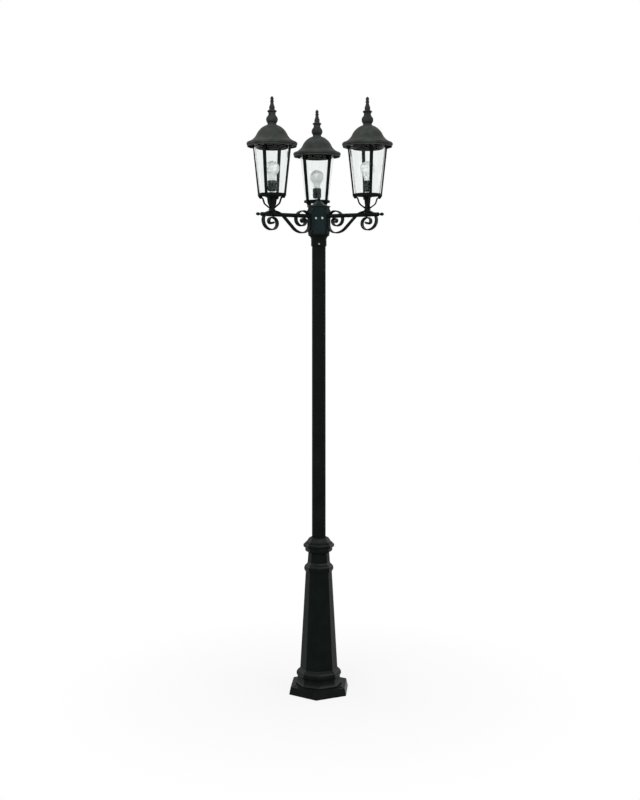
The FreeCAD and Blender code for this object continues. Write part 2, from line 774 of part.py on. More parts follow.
def wiring_shelf():
    """Hexagonal sheet with three tabs turned up behind the blank faces, for cables and cap stud."""
    inner = hub_face - HUB_WALL
    face_corner = (inner - SLIP) / math.cos(math.pi / HUB_SIDES)
    sheet = hexagon_bar(face_corner, shelf_level, shelf_level + SHELF_THICKNESS)
    tab_top = hub_base + HUB_SCREW_HEIGHT + HUB_SCREW_HEAD / 2
    tab_corner = Vector(inner - SHELF_THICKNESS, -SHELF_TAB_WIDTH / 2, shelf_level)
    tab = Part.makeBox(SHELF_THICKNESS, SHELF_TAB_WIDTH, tab_top - shelf_level, tab_corner)
    limit = hexagon_bar(inner / math.cos(math.pi / HUB_SIDES), shelf_level, tab_top)
    for shape in ring_of(tab, blank_angles):
        sheet = sheet.fuse(shape.common(limit))
    sheet = sheet.removeSplitter()
    for screw in hub_screws():
        sheet = sheet.cut(screw)
    middle = Vector(0, 0, shelf_level)
    cable_hole = rod(SHELF_CABLE_HOLE, SHELF_THICKNESS, middle)
    for shape in ring_of(cable_hole, arm_angles, SHELF_CABLE_CIRCLE):
        sheet = sheet.cut(shape)
    return sheet.cut(rod(KNOB_STUD, SHELF_THICKNESS, middle))


def terminal_block():
    """Block with a bore for each wire and a well for each clamp screw."""
    low = shelf_level - TERMINAL_HEIGHT
    corner = Vector(-TERMINAL_LENGTH / 2, -TERMINAL_WIDTH / 2, low)
    block = Part.makeBox(TERMINAL_LENGTH, TERMINAL_WIDTH, TERMINAL_HEIGHT, corner)
    pitch = TERMINAL_LENGTH / TERMINAL_WAYS
    for way in range(TERMINAL_WAYS):
        x = corner.x + (way + 0.5) * pitch
        bore = rod(TERMINAL_BORE, TERMINAL_WIDTH, Vector(x, corner.y, low + TERMINAL_HEIGHT / 2), ACROSS)
        well = rod(TERMINAL_BORE, TERMINAL_HEIGHT / 2, Vector(x, 0, low))
        block = block.cut(bore).cut(well)
    return block


def on_arm(shape, angle):
    """Place a shape, built with the rod axis as X axis, on the arm that points to angle."""
    copy = shape.copy()
    copy.translate(Vector(0, 0, arm_level))
    copy.rotate(CENTRE, UP, angle)
    return copy


def nipple_hole(low, high):
    return rod(NIPPLE_DIAMETER, high - low, Vector(ARM_REACH, 0, low))


def arm_rod():
    """Hollow rod, tapped on top for the lantern's nipple."""
    start = Vector(ROD_START, 0, 0)
    body = rod(ROD_DIAMETER, rod_end - ROD_START, start, OUT)
    body = body.cut(rod(ROD_BORE, rod_end - ROD_START, start, OUT))
    return body.cut(nipple_hole(0, ROD_DIAMETER))


def arm_plate():
    """End plate on the hub face, with scooped corners."""
    middle = hub_base + HUB_HEIGHT / 2 - arm_level
    half_width = ARM_PLATE_WIDTH / 2
    half_height = ARM_PLATE_HEIGHT / 2
    corner = Vector(hub_face, -half_width, middle - half_height)
    plate = Part.makeBox(ARM_PLATE_THICKNESS, ARM_PLATE_WIDTH, ARM_PLATE_HEIGHT, corner)
    for side in (-1, 1):
        for end in (-1, 1):
            place = Vector(hub_face, side * half_width, middle + end * half_height)
            plate = plate.cut(rod(2 * ARM_PLATE_SCOOP, ARM_PLATE_THICKNESS, place, OUT))
    return plate.cut(rod(ROD_DIAMETER + 2 * ROD_FIT, ARM_PLATE_THICKNESS, Vector(hub_face, 0, 0), OUT))


def scroll_strip():
    """The whole strip of one arm: from the crest under the lantern outwards, and inwards to the hub."""
    crest = (ARM_REACH, CREST_HEIGHT)
    outward = [(radius, -degrees) for radius, degrees in OUTER_BENDS]
    outer, outer_eye = strip(crest, 0, outward, STRIP_THICKNESS, STRIP_WIDTH)
    fall = math.sin(math.radians(SCROLL_SLOPE))
    advance = math.cos(math.radians(SCROLL_SLOPE))
    bends = SHOULDER_BEND + BELLY_BEND
    near_hub = arm_face + STRIP_THICKNESS / 2
    run = (ARM_REACH - near_hub - HUB_BEND - bends * fall) / advance
    low = CREST_HEIGHT - bends * (1 - advance) - run * fall
    riser = HUB_ARCH_HEIGHT - HUB_ARCH_BEND - HUB_BEND - low
    inward = [(SHOULDER_BEND, SCROLL_SLOPE), (run,), (BELLY_BEND, -SCROLL_SLOPE)]
    inward += [(HUB_BEND, -QUARTER), (riser,), (HUB_ARCH_BEND, -QUARTER)]
    inward += [(radius, -degrees) for radius, degrees in INNER_BENDS]
    inner, inner_eye = strip(crest, 180, inward, STRIP_THICKNESS, STRIP_WIDTH)
    body = outer.fuse(inner)
    for eye_x, eye_z in (outer_eye, inner_eye):
        roll = rod(2 * EYE_RADIUS, STRIP_WIDTH, Vector(eye_x, -STRIP_WIDTH / 2, eye_z), ACROSS)
        body = body.fuse(roll)
    return body.removeSplitter()


def arm_scroll():
    """Scroll strip, pierced by the rod and by the nipple."""
    body = scroll_strip().cut(rod(ROD_DIAMETER, rod_end, CENTRE, OUT))
    return body.cut(nipple_hole(0, CREST_HEIGHT + STRIP_THICKNESS))


def arm_tip():
    """Turned tip whose tenon plugs the open end of the rod."""
    body = turned([
        (0, -TIP_TENON),
        (ROD_BORE / 2, -TIP_TENON),
        (ROD_BORE / 2, 0),
        (TIP_COLLAR, 0),
        (TIP_COLLAR, TIP_COLLAR_LENGTH),
        (TIP_NECK, TIP_NECK_MIDDLE, TIP_NECK, TIP_NECK_END),
        (TIP_SPEAR, TIP_SPEAR_MIDDLE, TIP_POINT, TIP_LENGTH),
        (0, TIP_LENGTH),
    ])
    body.rotate(CENTRE, ACROSS, QUARTER)
    body.translate(Vector(rod_end, 0, 0))
    return body


def arm_locknut():
    place = Vector(hub_face - HUB_WALL - LOCKNUT_THICKNESS, 0, 0)
    return nut(LOCKNUT_ACROSS, LOCKNUT_THICKNESS, ROD_DIAMETER, place, OUT)


def saddle():
    """Packing piece between the rod and the crest of the strip."""
    body = rod(2 * SADDLE_RADIUS, CREST_HEIGHT, Vector(ARM_REACH, 0, 0))
    body = body.cut(rod(ROD_DIAMETER, rod_end, CENTRE, OUT))
    return body.cut(scroll_strip()).cut(nipple_hole(0, CREST_HEIGHT)).Solids[0]


def lantern_nipple():
    """Hollow nipple screwed into the top of the rod. The cable passes through it."""
    low = Vector(ARM_REACH, 0, NIPPLE_REACH)
    return rod(NIPPLE_DIAMETER, NIPPLE_LENGTH, low).cut(rod(NIPPLE_BORE, NIPPLE_LENGTH, low))


def on_lantern(shape, angle, turn):
    """Place a shape, built round the Z axis at its true height, on the lantern of the arm at angle."""
    turned_shape = at_angle(shape, turn)
    return at_angle(turned_shape, angle, ARM_REACH)


def stem():
    """Turned stem with a hollow spigot on top that carries the gallery and the lampholder."""
    knuckle = stem_base + STEM_KNUCKLE_HEIGHT
    bore = NIPPLE_DIAMETER / 2 + SLIP
    cable_bore = SPIGOT_RADIUS - SPIGOT_WALL
    return turned([
        (bore, stem_base),
        (STEM_FOOT, stem_base),
        (STEM_FOOT, stem_base + STEM_FOOT_HEIGHT),
        (STEM_NECK, stem_base + STEM_FOOT_HEIGHT + STEM_FOOT_BEVEL),
        (STEM_NECK, knuckle - STEM_KNUCKLE_HALF),
        (STEM_KNUCKLE, knuckle, STEM_NECK, knuckle + STEM_KNUCKLE_HALF),
        (STEM_WAIST, stem_base + STEM_WAIST_HEIGHT),
        (STEM_TOP, stem_base + STEM_TOP_HEIGHT),
        (STEM_COVE, stem_base + STEM_COVE_HEIGHT, STEM_FLARE, floor_base),
        (SPIGOT_RADIUS, floor_base),
        (SPIGOT_RADIUS, floor_top + SPIGOT_LENGTH),
        (cable_bore, floor_top + SPIGOT_LENGTH),
        (cable_bore, stem_base + STEM_BORE_HEIGHT),
        (bore, stem_base + STEM_BORE_HEIGHT),
    ])


def frame_leg():
    """One thin leg: from the foot knob under the gallery, down, in and round to the stem."""
    top = (knob_reach - LEG_INSET, floor_base - FOOT_KNOB_RADIUS - LEG_DROP)
    path = [(LEG_BEND_HIGH, LEG_TURN_HIGH), (LEG_RUN,), (LEG_BEND_LOW, LEG_TURN_LOW), (knob_reach / 2,)]
    body, _ = strip(top, LEG_HEADING, path, LEG_THICKNESS, LEG_WIDTH)
    return body


def bar_lean():
    """Angle of the bars above the horizontal, in radians."""
    return math.atan2(ROOF_SEAT - GALLERY_HEIGHT - BAR_FLARE_BEND, BAR_SPREAD)


def bar_foot():
    """Middle of a bar's foot on the gallery's side, as distance from the axis and height."""
    return GALLERY_RADIUS - BAR_BITE + BAR_THICKNESS / 2, floor_base + GALLERY_HEIGHT


def bar_head():
    """Middle of a bar where its flare begins, just under the roof."""
    low_x, low_z = bar_foot()
    flare_height = BAR_THICKNESS / 2 + BAR_FLARE_BEND * (1 - math.cos(bar_lean()))
    high_z = roof_base - flare_height
    return low_x + (high_z - low_z) / math.tan(bar_lean()), high_z


def frame_bar():
    """One bar of the cage: up the gallery's side, straight and leaning out, with a flared screw tab."""
    low = bar_foot()
    high = bar_head()
    body = Part.makeLoft([bar_section(*low, BAR_WIDTH_LOW), bar_section(*high, BAR_WIDTH_HIGH)], True, True)
    lean = math.degrees(bar_lean())
    flare = [(BAR_FLARE_BEND, -lean), (SCREW_TAB,)]
    tab, _ = strip(high, lean, flare, BAR_THICKNESS, BAR_WIDTH_HIGH)
    hook = [(GALLERY_HEIGHT - 2 * BAR_LAP,), (BAR_FOOT_BEND, -QUARTER), (KNOB_RUN,)]
    foot, _ = strip((low[0], low[1] + BAR_LAP), -QUARTER, hook, BAR_THICKNESS, BAR_WIDTH_LOW)
    knob_place = Vector(knob_reach, -BAR_WIDTH_LOW / 2, floor_base - FOOT_KNOB_RADIUS)
    knob = rod(2 * FOOT_KNOB_RADIUS, BAR_WIDTH_LOW, knob_place, ACROSS)
    return body.fuse([tab, foot, knob]).removeSplitter()


def bar_section(x, z, width):
    half = BAR_THICKNESS / 2
    corners = [Vector(x - half, -width / 2, z), Vector(x + half, -width / 2, z),
               Vector(x + half, width / 2, z), Vector(x - half, width / 2, z)]
    return Part.makePolygon(corners + corners[:1])


def tab_screw_radius():
    """Distance of the roof screws from the lantern axis, in the middle of the bars' tabs."""
    return bar_head()[0] + BAR_FLARE_BEND * math.sin(bar_lean()) + SCREW_TAB / 2


def bar_angles():
    return even_angles(FRAME_BARS, FRAME_TURN)


def lantern_frame():
    """Gallery ring with its floor, the four cage bars and the four legs, cast in one."""
    seat = GLASS_RADIUS_LOW + GLASS_CLEARANCE
    body = turned([
        (SPIGOT_RADIUS, floor_base),
        (GALLERY_RADIUS - GALLERY_EDGE, floor_base),
        (GALLERY_RADIUS, floor_base + GALLERY_EDGE),
        (GALLERY_RADIUS, floor_base + GALLERY_HEIGHT - GALLERY_EDGE),
        (GALLERY_RADIUS - GALLERY_EDGE, floor_base + GALLERY_HEIGHT),
        (seat, floor_base + GALLERY_HEIGHT),
        (seat, floor_top),
        (SPIGOT_RADIUS, floor_top),
    ])
    leg_pieces = frame_leg().cut(stem()).Solids
    leg = max(leg_pieces, key=lambda solid: solid.Volume)
    bar = frame_bar().fuse(leg)
    for angle in bar_angles():
        body = body.fuse(at_angle(bar, angle))
    body = body.removeSplitter()
    low = Vector(tab_screw_radius(), 0, roof_base - 2 * BAR_THICKNESS)
    hole = rod(ROOF_SCREW, 2 * BAR_THICKNESS, low)
    for shape in ring_of(hole, bar_angles()):
        body = body.cut(shape)
    return body


def roof_screws():
    """Screws up through the bars' tabs. They stand out above them as pins that centre the roof."""
    under = Vector(tab_screw_radius(), 0, roof_base - BAR_THICKNESS)
    shank = rod(ROOF_SCREW, BAR_THICKNESS + 2 * ROOF_WALL, under)
    head = rod(ROOF_SCREW_HEAD, ROOF_SCREW_HEAD_HEIGHT, under, -UP)
    screw = shank.fuse(head).removeSplitter()
    return Part.makeCompound(ring_of(screw, bar_angles()))


def glass():
    high = floor_top + GLASS_HEIGHT
    return turned([
        (GLASS_RADIUS_LOW - GLASS_WALL, floor_top),
        (GLASS_RADIUS_LOW, floor_top),
        (GLASS_RADIUS_HIGH, high),
        (GLASS_RADIUS_HIGH - GLASS_WALL, high),
    ])


def lampholder():
    outer = HOLDER_DIAMETER / 2
    socket = BULB_CAP_DIAMETER / 2 + BULB_CLEARANCE
    contact = holder_top + BULB_LIFT - BULB_CAP_LENGTH
    grip = floor_top + SPIGOT_LENGTH
    return turned([
        (SPIGOT_RADIUS, holder_base),
        (outer - HOLDER_FOOT_INSET, holder_base),
        (outer, holder_base + HOLDER_FOOT_ARC, outer, holder_base + HOLDER_FOOT_HEIGHT),
        (outer, holder_top - HOLDER_EDGE),
        (outer - HOLDER_EDGE, holder_top),
        (socket, holder_top),
        (socket, contact),
        (HOLDER_CABLE_HOLE / 2, contact),
        (HOLDER_CABLE_HOLE / 2, grip),
        (SPIGOT_RADIUS, grip),
    ])


def bulb_cap():
    """Screw cap with rounded thread crests and a contact button at its foot."""
    top = holder_top + BULB_LIFT
    low = top - BULB_CAP_LENGTH
    crest = BULB_CAP_DIAMETER / 2
    pitch = BULB_THREAD_PITCH
    root = crest - BULB_THREAD_DEPTH
    points = [
        (0, low),
        (BULB_CONTACT_RADIUS, low),
        (BULB_CONTACT_RADIUS + BULB_CONTACT_BEVEL, low + BULB_CONTACT_HEIGHT),
        (crest - BULB_FOOT_INSET, low + BULB_FOOT_HEIGHT),
    ]
    z = low + BULB_THREAD_START
    for _ in range(BULB_THREAD_TURNS):
        points.append((root, z))
        points.append((crest, z + pitch / 2, root, z + pitch))
        z += pitch
    points += [(root, top), (0, top)]
    return turned(points)


def bulb_globe():
    low = holder_top + BULB_LIFT
    radius = BULB_DIAMETER / 2
    centre = holder_top + BULB_RISE - radius
    neck = BULB_CAP_DIAMETER / 2 - BULB_THREAD_DEPTH
    joint = centre - BULB_SHOULDER_DROP
    shoulder = (low + joint) / 2 + BULB_SHOULDER_RAISE
    return turned([
        (0, low),
        (neck, low),
        (neck + BULB_NECK_SWELL, low + BULB_NECK_HEIGHT),
        (neck + BULB_SHOULDER_SWELL, shoulder, ball_radius_at(radius, BULB_SHOULDER_DROP), joint),
        (radius, centre, 0, centre + radius),
    ])


def roof_profile(inset):
    """Half outline of the bell roof from its lip to its crown, drawn in by inset."""
    lip_height = roof_base + ROOF_LIP_HEIGHT
    cove_height = roof_base + ROOF_COVE_HEIGHT
    dome_height = roof_base + ROOF_DOME_HEIGHT
    crown_height = roof_base + ROOF_CROWN_HEIGHT - inset
    rim = ROOF_LIP - ROOF_LIP_INSET - inset
    return [
        (ROOF_LIP - inset, roof_base + inset),
        (ROOF_RADIUS - inset, roof_base + ROOF_RADIUS_HEIGHT, rim, lip_height),
        (ROOF_COVE - inset, cove_height, ROOF_SHOULDER - inset, roof_base + ROOF_SHOULDER_HEIGHT),
        (ROOF_DOME - inset, dome_height, ROOF_CROWN - inset, crown_height),
    ]


def drip_edge():
    low = Vector(0, 0, roof_base - ROOF_DRIP)
    inside = ROOF_LIP - ROOF_DRIP_WALL
    return rod(2 * ROOF_LIP, ROOF_DRIP, low).cut(rod(2 * inside, ROOF_DRIP, low))


def roof():
    """Bell-shaped shell with a flange inside its lip, which lies on the bars, and a drip edge below."""
    outer = turned([(0, roof_base)] + roof_profile(0) + [(ROOF_TOP, roof_top), (0, roof_top)])
    ceiling = roof_top - 2 * ROOF_WALL
    crown = [(ROOF_TOP - ROOF_WALL, ceiling), (0, ceiling)]
    inner = turned([(0, roof_base + ROOF_WALL)] + roof_profile(ROOF_WALL) + crown)
    shell = outer.cut(inner)
    shell = shell.cut(rod(2 * (ROOF_LIP - ROOF_FLANGE_WIDTH), ROOF_WALL, Vector(0, 0, roof_base)))
    shell = shell.fuse(drip_edge()).removeSplitter()
    hole = rod(ROOF_SCREW + 2 * SLIP, ROOF_WALL, Vector(tab_screw_radius(), 0, roof_base))
    for shape in ring_of(hole, bar_angles()):
        shell = shell.cut(shape)
    return shell.cut(rod(FINIAL_STUD, ROOF_HEIGHT, Vector(0, 0, roof_base)))


def heat_shield():
    """Shallow dish under the roof, on two posts from a strap that lies on the roof's flange."""
    strap_low = roof_base + ROOF_WALL
    dish_top = roof_base - SHIELD_DROP + SHIELD_DISH
    dish_rim = dish_top - SHIELD_DISH
    dish = turned([
        (0, dish_top - SHIELD_WALL),
        (SHIELD_RADIUS, dish_rim - SHIELD_WALL),
        (SHIELD_RADIUS, dish_rim),
        (0, dish_top),
    ])
    half = ROOF_LIP - ROOF_WALL - SHIELD_STRAP_INSET
    corner = Vector(-SHIELD_STRAP_WIDTH / 2, -half, strap_low)
    body = dish.fuse(Part.makeBox(SHIELD_STRAP_WIDTH, 2 * half, SHIELD_STRAP, corner))
    for side in (-1, 1):
        foot = Vector(0, side * SHIELD_POST_SPACING / 2, dish_rim)
        body = body.fuse(rod(2 * SHIELD_POST, strap_low + SHIELD_STRAP - dish_rim, foot))
    return body.removeSplitter()


def on_finial(*mouldings):
    """Outline point of the finial: one moulding for a straight side, two for an arc."""
    point = []
    for radius, share in mouldings:
        point += [radius, roof_top + share * FINIAL_HEIGHT]
    return tuple(point)


def finial():
    """Turned finial on a stud. Its arcs run through the widest and narrowest places."""
    return turned([
        (0, roof_top - FINIAL_STUD_LENGTH),
        (FINIAL_STUD / 2, roof_top - FINIAL_STUD_LENGTH),
        (FINIAL_STUD / 2, roof_top),
        (ROOF_TOP, roof_top),
        on_finial(FINIAL_WAIST, FINIAL_FOOT),
        on_finial(FINIAL_BELLY, FINIAL_SHOULDER),
        on_finial(FINIAL_NECK, FINIAL_THROAT),
        on_finial(FINIAL_RING),
        on_finial(FINIAL_RING_TOP),
        on_finial(FINIAL_VASE_FOOT),
        on_finial(FINIAL_VASE, FINIAL_VASE_TOP),
        on_finial(FINIAL_STALK),
        on_finial(FINIAL_BEAD, FINIAL_BEAD_TOP),
        on_finial(FINIAL_BUD, FINIAL_TIP),
        (0, roof_top + FINIAL_HEIGHT),
    ])


def save(name, shape):
    solids = shape.Solids
    assert shape.isValid(), name + " is not valid"
    print("%-22s %2d solids %12.1f mm3" % (name, len(solids), shape.Volume))
    shape.exportStep("parts/%s.step" % name)


def build_post():
    save("foot_plate", foot_plate())
    save("plate_screws", plate_screws())
    save("pedestal", pedestal())
    save("grub_screws", grub_screws())
    save("base_collar", base_collar())
    save("pole", pole())


def build_hub():
    save("neck_socket", neck_socket())
    save("socket_screws", socket_screws())
    save("hub_body", hub_body())
    save("hub_screws", Part.makeCompound(hub_screws()))
    save("hub_cap", hub_cap())
    save("cap_knob", cap_knob())
    save("wiring_shelf", wiring_shelf())
    save("terminal_block", terminal_block())


def build_arms():
    pieces = {
        "arm_rod": arm_rod(),
        "arm_plate": arm_plate(),
        "arm_scroll": arm_scroll(),
        "arm_tip": arm_tip(),
    }
    for piece, shape in pieces.items():
        for name, angle in zip(arm_names, arm_angles):
            save(piece + "_" + name, on_arm(shape, angle))
    groups = {
        "arm_locknuts": arm_locknut(),
        "lantern_saddles": saddle(),
        "lantern_nipples": lantern_nipple(),
    }
    for piece, shape in groups.items():
        save(piece, Part.makeCompound([on_arm(shape, angle) for angle in arm_angles]))


def build_lanterns():
    pieces = {
        "stem": stem(),
        "lantern_frame": lantern_frame(),
        "roof_screws": roof_screws(),
        "glass": glass(),
        "lampholder": lampholder(),
        "bulb_cap": bulb_cap(),
        "bulb_globe": bulb_globe(),
        "heat_shield": heat_shield(),
        "roof": roof(),
        "finial": finial(),
    }
    for piece, shape in pieces.items():
        for name, angle in zip(arm_names, arm_angles):
            save(piece + "_" + name, on_lantern(shape, angle, LANTERN_TURNS[name]))


def main():
    os.makedirs("parts", exist_ok=True)
    build_post()
    build_hub()
    build_arms()
    build_lanterns()
    print("height %.1f mm, lantern circle %.1f mm" % (roof_top + FINIAL_HEIGHT, 2 * ARM_REACH))


main()
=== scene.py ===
# %% [markdown]
# # A garden lamp post with three lanterns
#
# This lesson dresses a finished CAD model of a cast garden lamp post. The model already holds every
# piece at its true size and place: pedestal, fluted pole, hub, scrolled arms and three lanterns.
# What is left is what CAD can't say: how powder coat, steel, glass and frosted bulbs look, small
# rounded details of screws and lampholders, and a camera and lamps like those of a product
# photograph. Every arm and lantern has pieces of the same names, which end in back, left or right,
# so a helper lists them.

# %% Load the model
import math

import bmesh
import bpy
from mathutils import Matrix, Vector


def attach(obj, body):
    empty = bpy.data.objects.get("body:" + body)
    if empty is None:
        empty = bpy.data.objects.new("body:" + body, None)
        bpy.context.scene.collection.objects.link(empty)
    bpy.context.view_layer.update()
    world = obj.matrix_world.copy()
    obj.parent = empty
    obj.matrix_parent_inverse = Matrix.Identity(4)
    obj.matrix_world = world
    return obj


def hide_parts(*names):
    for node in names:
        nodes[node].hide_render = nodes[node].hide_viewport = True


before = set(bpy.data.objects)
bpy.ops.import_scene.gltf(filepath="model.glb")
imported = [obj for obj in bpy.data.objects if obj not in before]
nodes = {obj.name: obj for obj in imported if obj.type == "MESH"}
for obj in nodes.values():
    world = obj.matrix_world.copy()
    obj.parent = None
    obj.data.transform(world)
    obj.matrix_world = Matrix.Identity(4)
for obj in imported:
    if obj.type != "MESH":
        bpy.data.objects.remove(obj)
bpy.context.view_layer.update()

# Where each arm points, in degrees counted from +X towards +Y, which is away from the camera.
ARM_DIRECTIONS = {"back": 90, "left": 210, "right": 330}


def each(*stems):
    """Names of the pieces that every arm or lantern has."""
    return [stem + "_" + lantern for stem in stems for lantern in ARM_DIRECTIONS]


# %% [markdown]
# ## The camera
#
# The photograph was taken with a level camera at about eye height, a little to the left of straight
# ahead: upright lines stay upright, and the roofs are seen from below while the foot plate is seen
# from above. The horizon isn't in the middle of the picture, so the lens is shifted a little instead
# of being tilted. How many metres one pixel covers, and how far away the camera stands, give the
# focal length by proportion.

# %% Camera at the height of a person's eyes
IMAGE_WIDTH = 640
IMAGE_HEIGHT = 800
HORIZON_ROW = 300
POLE_COLUMN = 318.8
METRES_PER_PIXEL = 0.00412
CAMERA_DISTANCE = 4.85
CAMERA_HEIGHT = 1.606
CAMERA_SWING = math.radians(-2)
RIGHT_ANGLE = math.radians(90)
SENSOR = 36.0

lens = bpy.data.cameras.new("camera")
camera = bpy.data.objects.new("camera", lens)
bpy.context.scene.collection.objects.link(camera)
bpy.context.scene.camera = camera
lens.sensor_fit = "VERTICAL"
lens.sensor_height = SENSOR
lens.lens = SENSOR * CAMERA_DISTANCE / (METRES_PER_PIXEL * IMAGE_HEIGHT)
lens.shift_x = (IMAGE_WIDTH / 2 - POLE_COLUMN) / IMAGE_HEIGHT
lens.shift_y = (HORIZON_ROW - IMAGE_HEIGHT / 2) / IMAGE_HEIGHT
stand = Vector((math.sin(CAMERA_SWING), -math.cos(CAMERA_SWING), 0)) * CAMERA_DISTANCE
camera.location = stand + Vector((0, 0, CAMERA_HEIGHT))
camera.rotation_euler = (RIGHT_ANGLE, 0, CAMERA_SWING)
print("focal length", round(lens.lens, 1), "mm")

# %% [markdown]
# ## Writing materials as sums
#
# A material is a graph of nodes, but most of what a painter wants to say is arithmetic: "the coat is
# rougher where dust lies". The small class below wraps a node's output so that Python's +, - and *
# add Math nodes by themselves, with a number on either side. Colours and vectors keep their own
# nodes, because a Math node would turn a colour grey.

# %% A socket that can be used in sums
class Value:
    """The output of a node, usable in sums with numbers and with other outputs."""

    def __init__(self, recipe, socket):
        self.recipe = recipe
        self.socket = socket

    def combine(self, operation, first, second):
        """The output of a new Math node."""
        return self.recipe.node("ShaderNodeMath", {"operation": operation}, {0: first, 1: second})

    def __add__(self, other):
        return self.combine("ADD", self, other)

    def __radd__(self, other):
        return self.combine("ADD", other, self)

    def __sub__(self, other):
        return self.combine("SUBTRACT", self, other)

    def __rsub__(self, other):
        return self.combine("SUBTRACT", other, self)

    def __mul__(self, other):
        return self.combine("MULTIPLY", self, other)

    def __rmul__(self, other):
        return self.combine("MULTIPLY", other, self)


print("sockets can be added, subtracted and multiplied")

# %% [markdown]
# ## One way to add any node
#
# A recipe owns the nodes of one material, or of the world. Its node method makes every kind of node:
# first the settings, because they decide which sockets a node has, then the values or links of the
# sockets. A socket is named by its number or by its own name. One method instead of one for each
# kind keeps the finishes below short, and what a node is set to stands where it is used.

# %% The recipe of a material
def find_socket(sockets, key):
    """Socket with this number, or else with this identifier or name."""
    if isinstance(key, int):
        return sockets[key]
    return next(socket for socket in sockets if key in (socket.identifier, socket.name))


def set_stops(band, stops):
    """Set the two grey stops of a colour ramp, each a place from 0 to 1 and a shade."""
    for element, (at, shade) in zip(band.elements, stops):
        element.position = at
        element.color = (shade, shade, shade, 1)


class Recipe:
    """The nodes of one material, or of the world, while they are being written."""

    def __init__(self, owner):
        owner.use_nodes = True
        self.owner = owner
        self.tree = owner.node_tree
        self.tree.nodes.clear()

    def node(self, kind, settings=None, inputs=None, output=0):
        """Add a node and return one of its outputs as a Value. An output node has none."""
        made = self.tree.nodes.new(kind)
        for key, value in (settings or {}).items():
            if key == "stops":
                set_stops(made.color_ramp, value)
            else:
                setattr(made, key, value)
        for key, value in (inputs or {}).items():
            socket = find_socket(made.inputs, key)
            if isinstance(value, Value):
                self.tree.links.new(value.socket, socket)
            else:
                socket.default_value = value
        return Value(self, find_socket(made.outputs, output)) if made.outputs else None


print("recipes can add any node")

# %% [markdown]
# ## Clouds, ramps, blends and bumps
#
# No real finish is even, and nearly all of its unevenness can be told with four things: clouds of a
# known size, a ramp that makes them harder or softer, a blend between two colours, and a bump. The
# clouds are placed by the position on the piece, in metres, so their sizes are real ones and they
# ride along when a piece moves. Each helper below is one or two nodes.

# %% Patterns on a piece
def position(recipe, stretch=(1, 1, 1)):
    """Position on the piece, in metres."""
    point = recipe.node("ShaderNodeTexCoord", output="Object")
    return recipe.node("ShaderNodeVectorMath", {"operation": "MULTIPLY"}, {0: point, 1: stretch})


def noise(recipe, size, detail=2.0, stretch=(1, 1, 1)):
    """Clouds from 0 to 1 whose patches are about size metres wide."""
    inputs = {"Vector": position(recipe, stretch), "Scale": 1 / size, "Detail": detail}
    return recipe.node("ShaderNodeTexNoise", inputs=inputs, output="Fac")


def ramp(value, low, high, dark=0.0):
    """Value stretched so that low becomes dark and high becomes 1."""
    stops = [(low, dark), (high, 1.0)]
    return value.recipe.node("ShaderNodeValToRGB", {"stops": stops}, {"Fac": value})


def blend(factor, first, second):
    """Colour that goes from first to second as factor goes from 0 to 1."""
    inputs = {"Factor_Float": factor, "A_Color": first, "B_Color": second}
    return factor.recipe.node("ShaderNodeMix", {"data_type": "RGBA"}, inputs, output="Result_Color")


def bump(height, distance, normal):
    """The way the surface faces with a relief on it, distance metres high."""
    inputs = {"Height": height, "Distance": distance, "Strength": 1.0, "Normal": normal}
    return height.recipe.node("ShaderNodeBump", inputs=inputs)


print("clouds, ramps, blends and bumps ready")

# %% [markdown]
# ## Edges, tops and undersides
#
# A finish wears and gathers dust by the form of the piece, not by chance. The Bevel node tells which
# way the surface would face with its edges filed round: where that differs from the true direction
# is an edge. The upright part of the direction tells tops from walls and undersides. So dust and
# wear find their places by themselves, on every piece. Each pair of limits below says where such a
# mask starts and where it is full.

# %% Masks from the form of a piece
BEVEL_SAMPLES = 4
EDGE_LIMITS = (0.02, 0.25)
TOP_LIMITS = (0.35, 0.95)
SLOPE_LIMITS = (0.10, 0.45)
LEVEL_LIMITS = (0.75, 0.92)
UNDERSIDE_LIMITS = (0.30, 0.80)


def direction(recipe):
    """The way the surface faces."""
    return recipe.node("ShaderNodeNewGeometry", output="Normal")


def rounded(recipe, radius):
    """The way the surface would face if every edge were filed round."""
    return recipe.node("ShaderNodeBevel", {"samples": BEVEL_SAMPLES}, {"Radius": radius})


def edges(recipe, radius):
    """1 along edges, 0 on faces."""
    inputs = {0: rounded(recipe, radius), 1: direction(recipe)}
    likeness = recipe.node("ShaderNodeVectorMath", {"operation": "DOT_PRODUCT"}, inputs, output="Value")
    return ramp(1 - likeness, *EDGE_LIMITS)


def tilt(recipe):
    """1 on level tops, 0 on walls, -1 on undersides."""
    return recipe.node("ShaderNodeSeparateXYZ", inputs={0: direction(recipe)}, output="Z")


def tops(recipe):
    """1 on tops, 0 on walls and undersides."""
    return ramp(tilt(recipe), *TOP_LIMITS)


def shoulders(recipe):
    """1 on sloping shoulders, 0 on walls, level tops and undersides."""
    return ramp(tilt(recipe), *SLOPE_LIMITS) * (1 - ramp(tilt(recipe), *LEVEL_LIMITS))


def undersides(recipe):
    """1 on undersides, 0 on walls and tops."""
    return ramp(0 - tilt(recipe), *UNDERSIDE_LIMITS)


print("masks for edges, tops, shoulders and undersides ready")

# %% [markdown]
# ## From recipe to piece
#
# Every finish ends in one Principled surface, which stands for nearly any real material and which
# the export can bake. A piece of the CAD model gets a finish by putting it in the piece's only
# material slot.

# %% Surface and paint
def surface(recipe, inputs):
    """Finish the material with one Principled surface and return it."""
    shader = recipe.node("ShaderNodeBsdfPrincipled", inputs=inputs)
    recipe.node("ShaderNodeOutputMaterial", inputs={"Surface": shader})
    return recipe.owner


def paint(material, names):
    """Give every named piece this material."""
    for name in names:
        slots = nodes[name].data.materials
        slots.clear()
        slots.append(material)
    print(material.name, "on", len(names), "pieces")


print("ready to paint", len(nodes), "pieces")

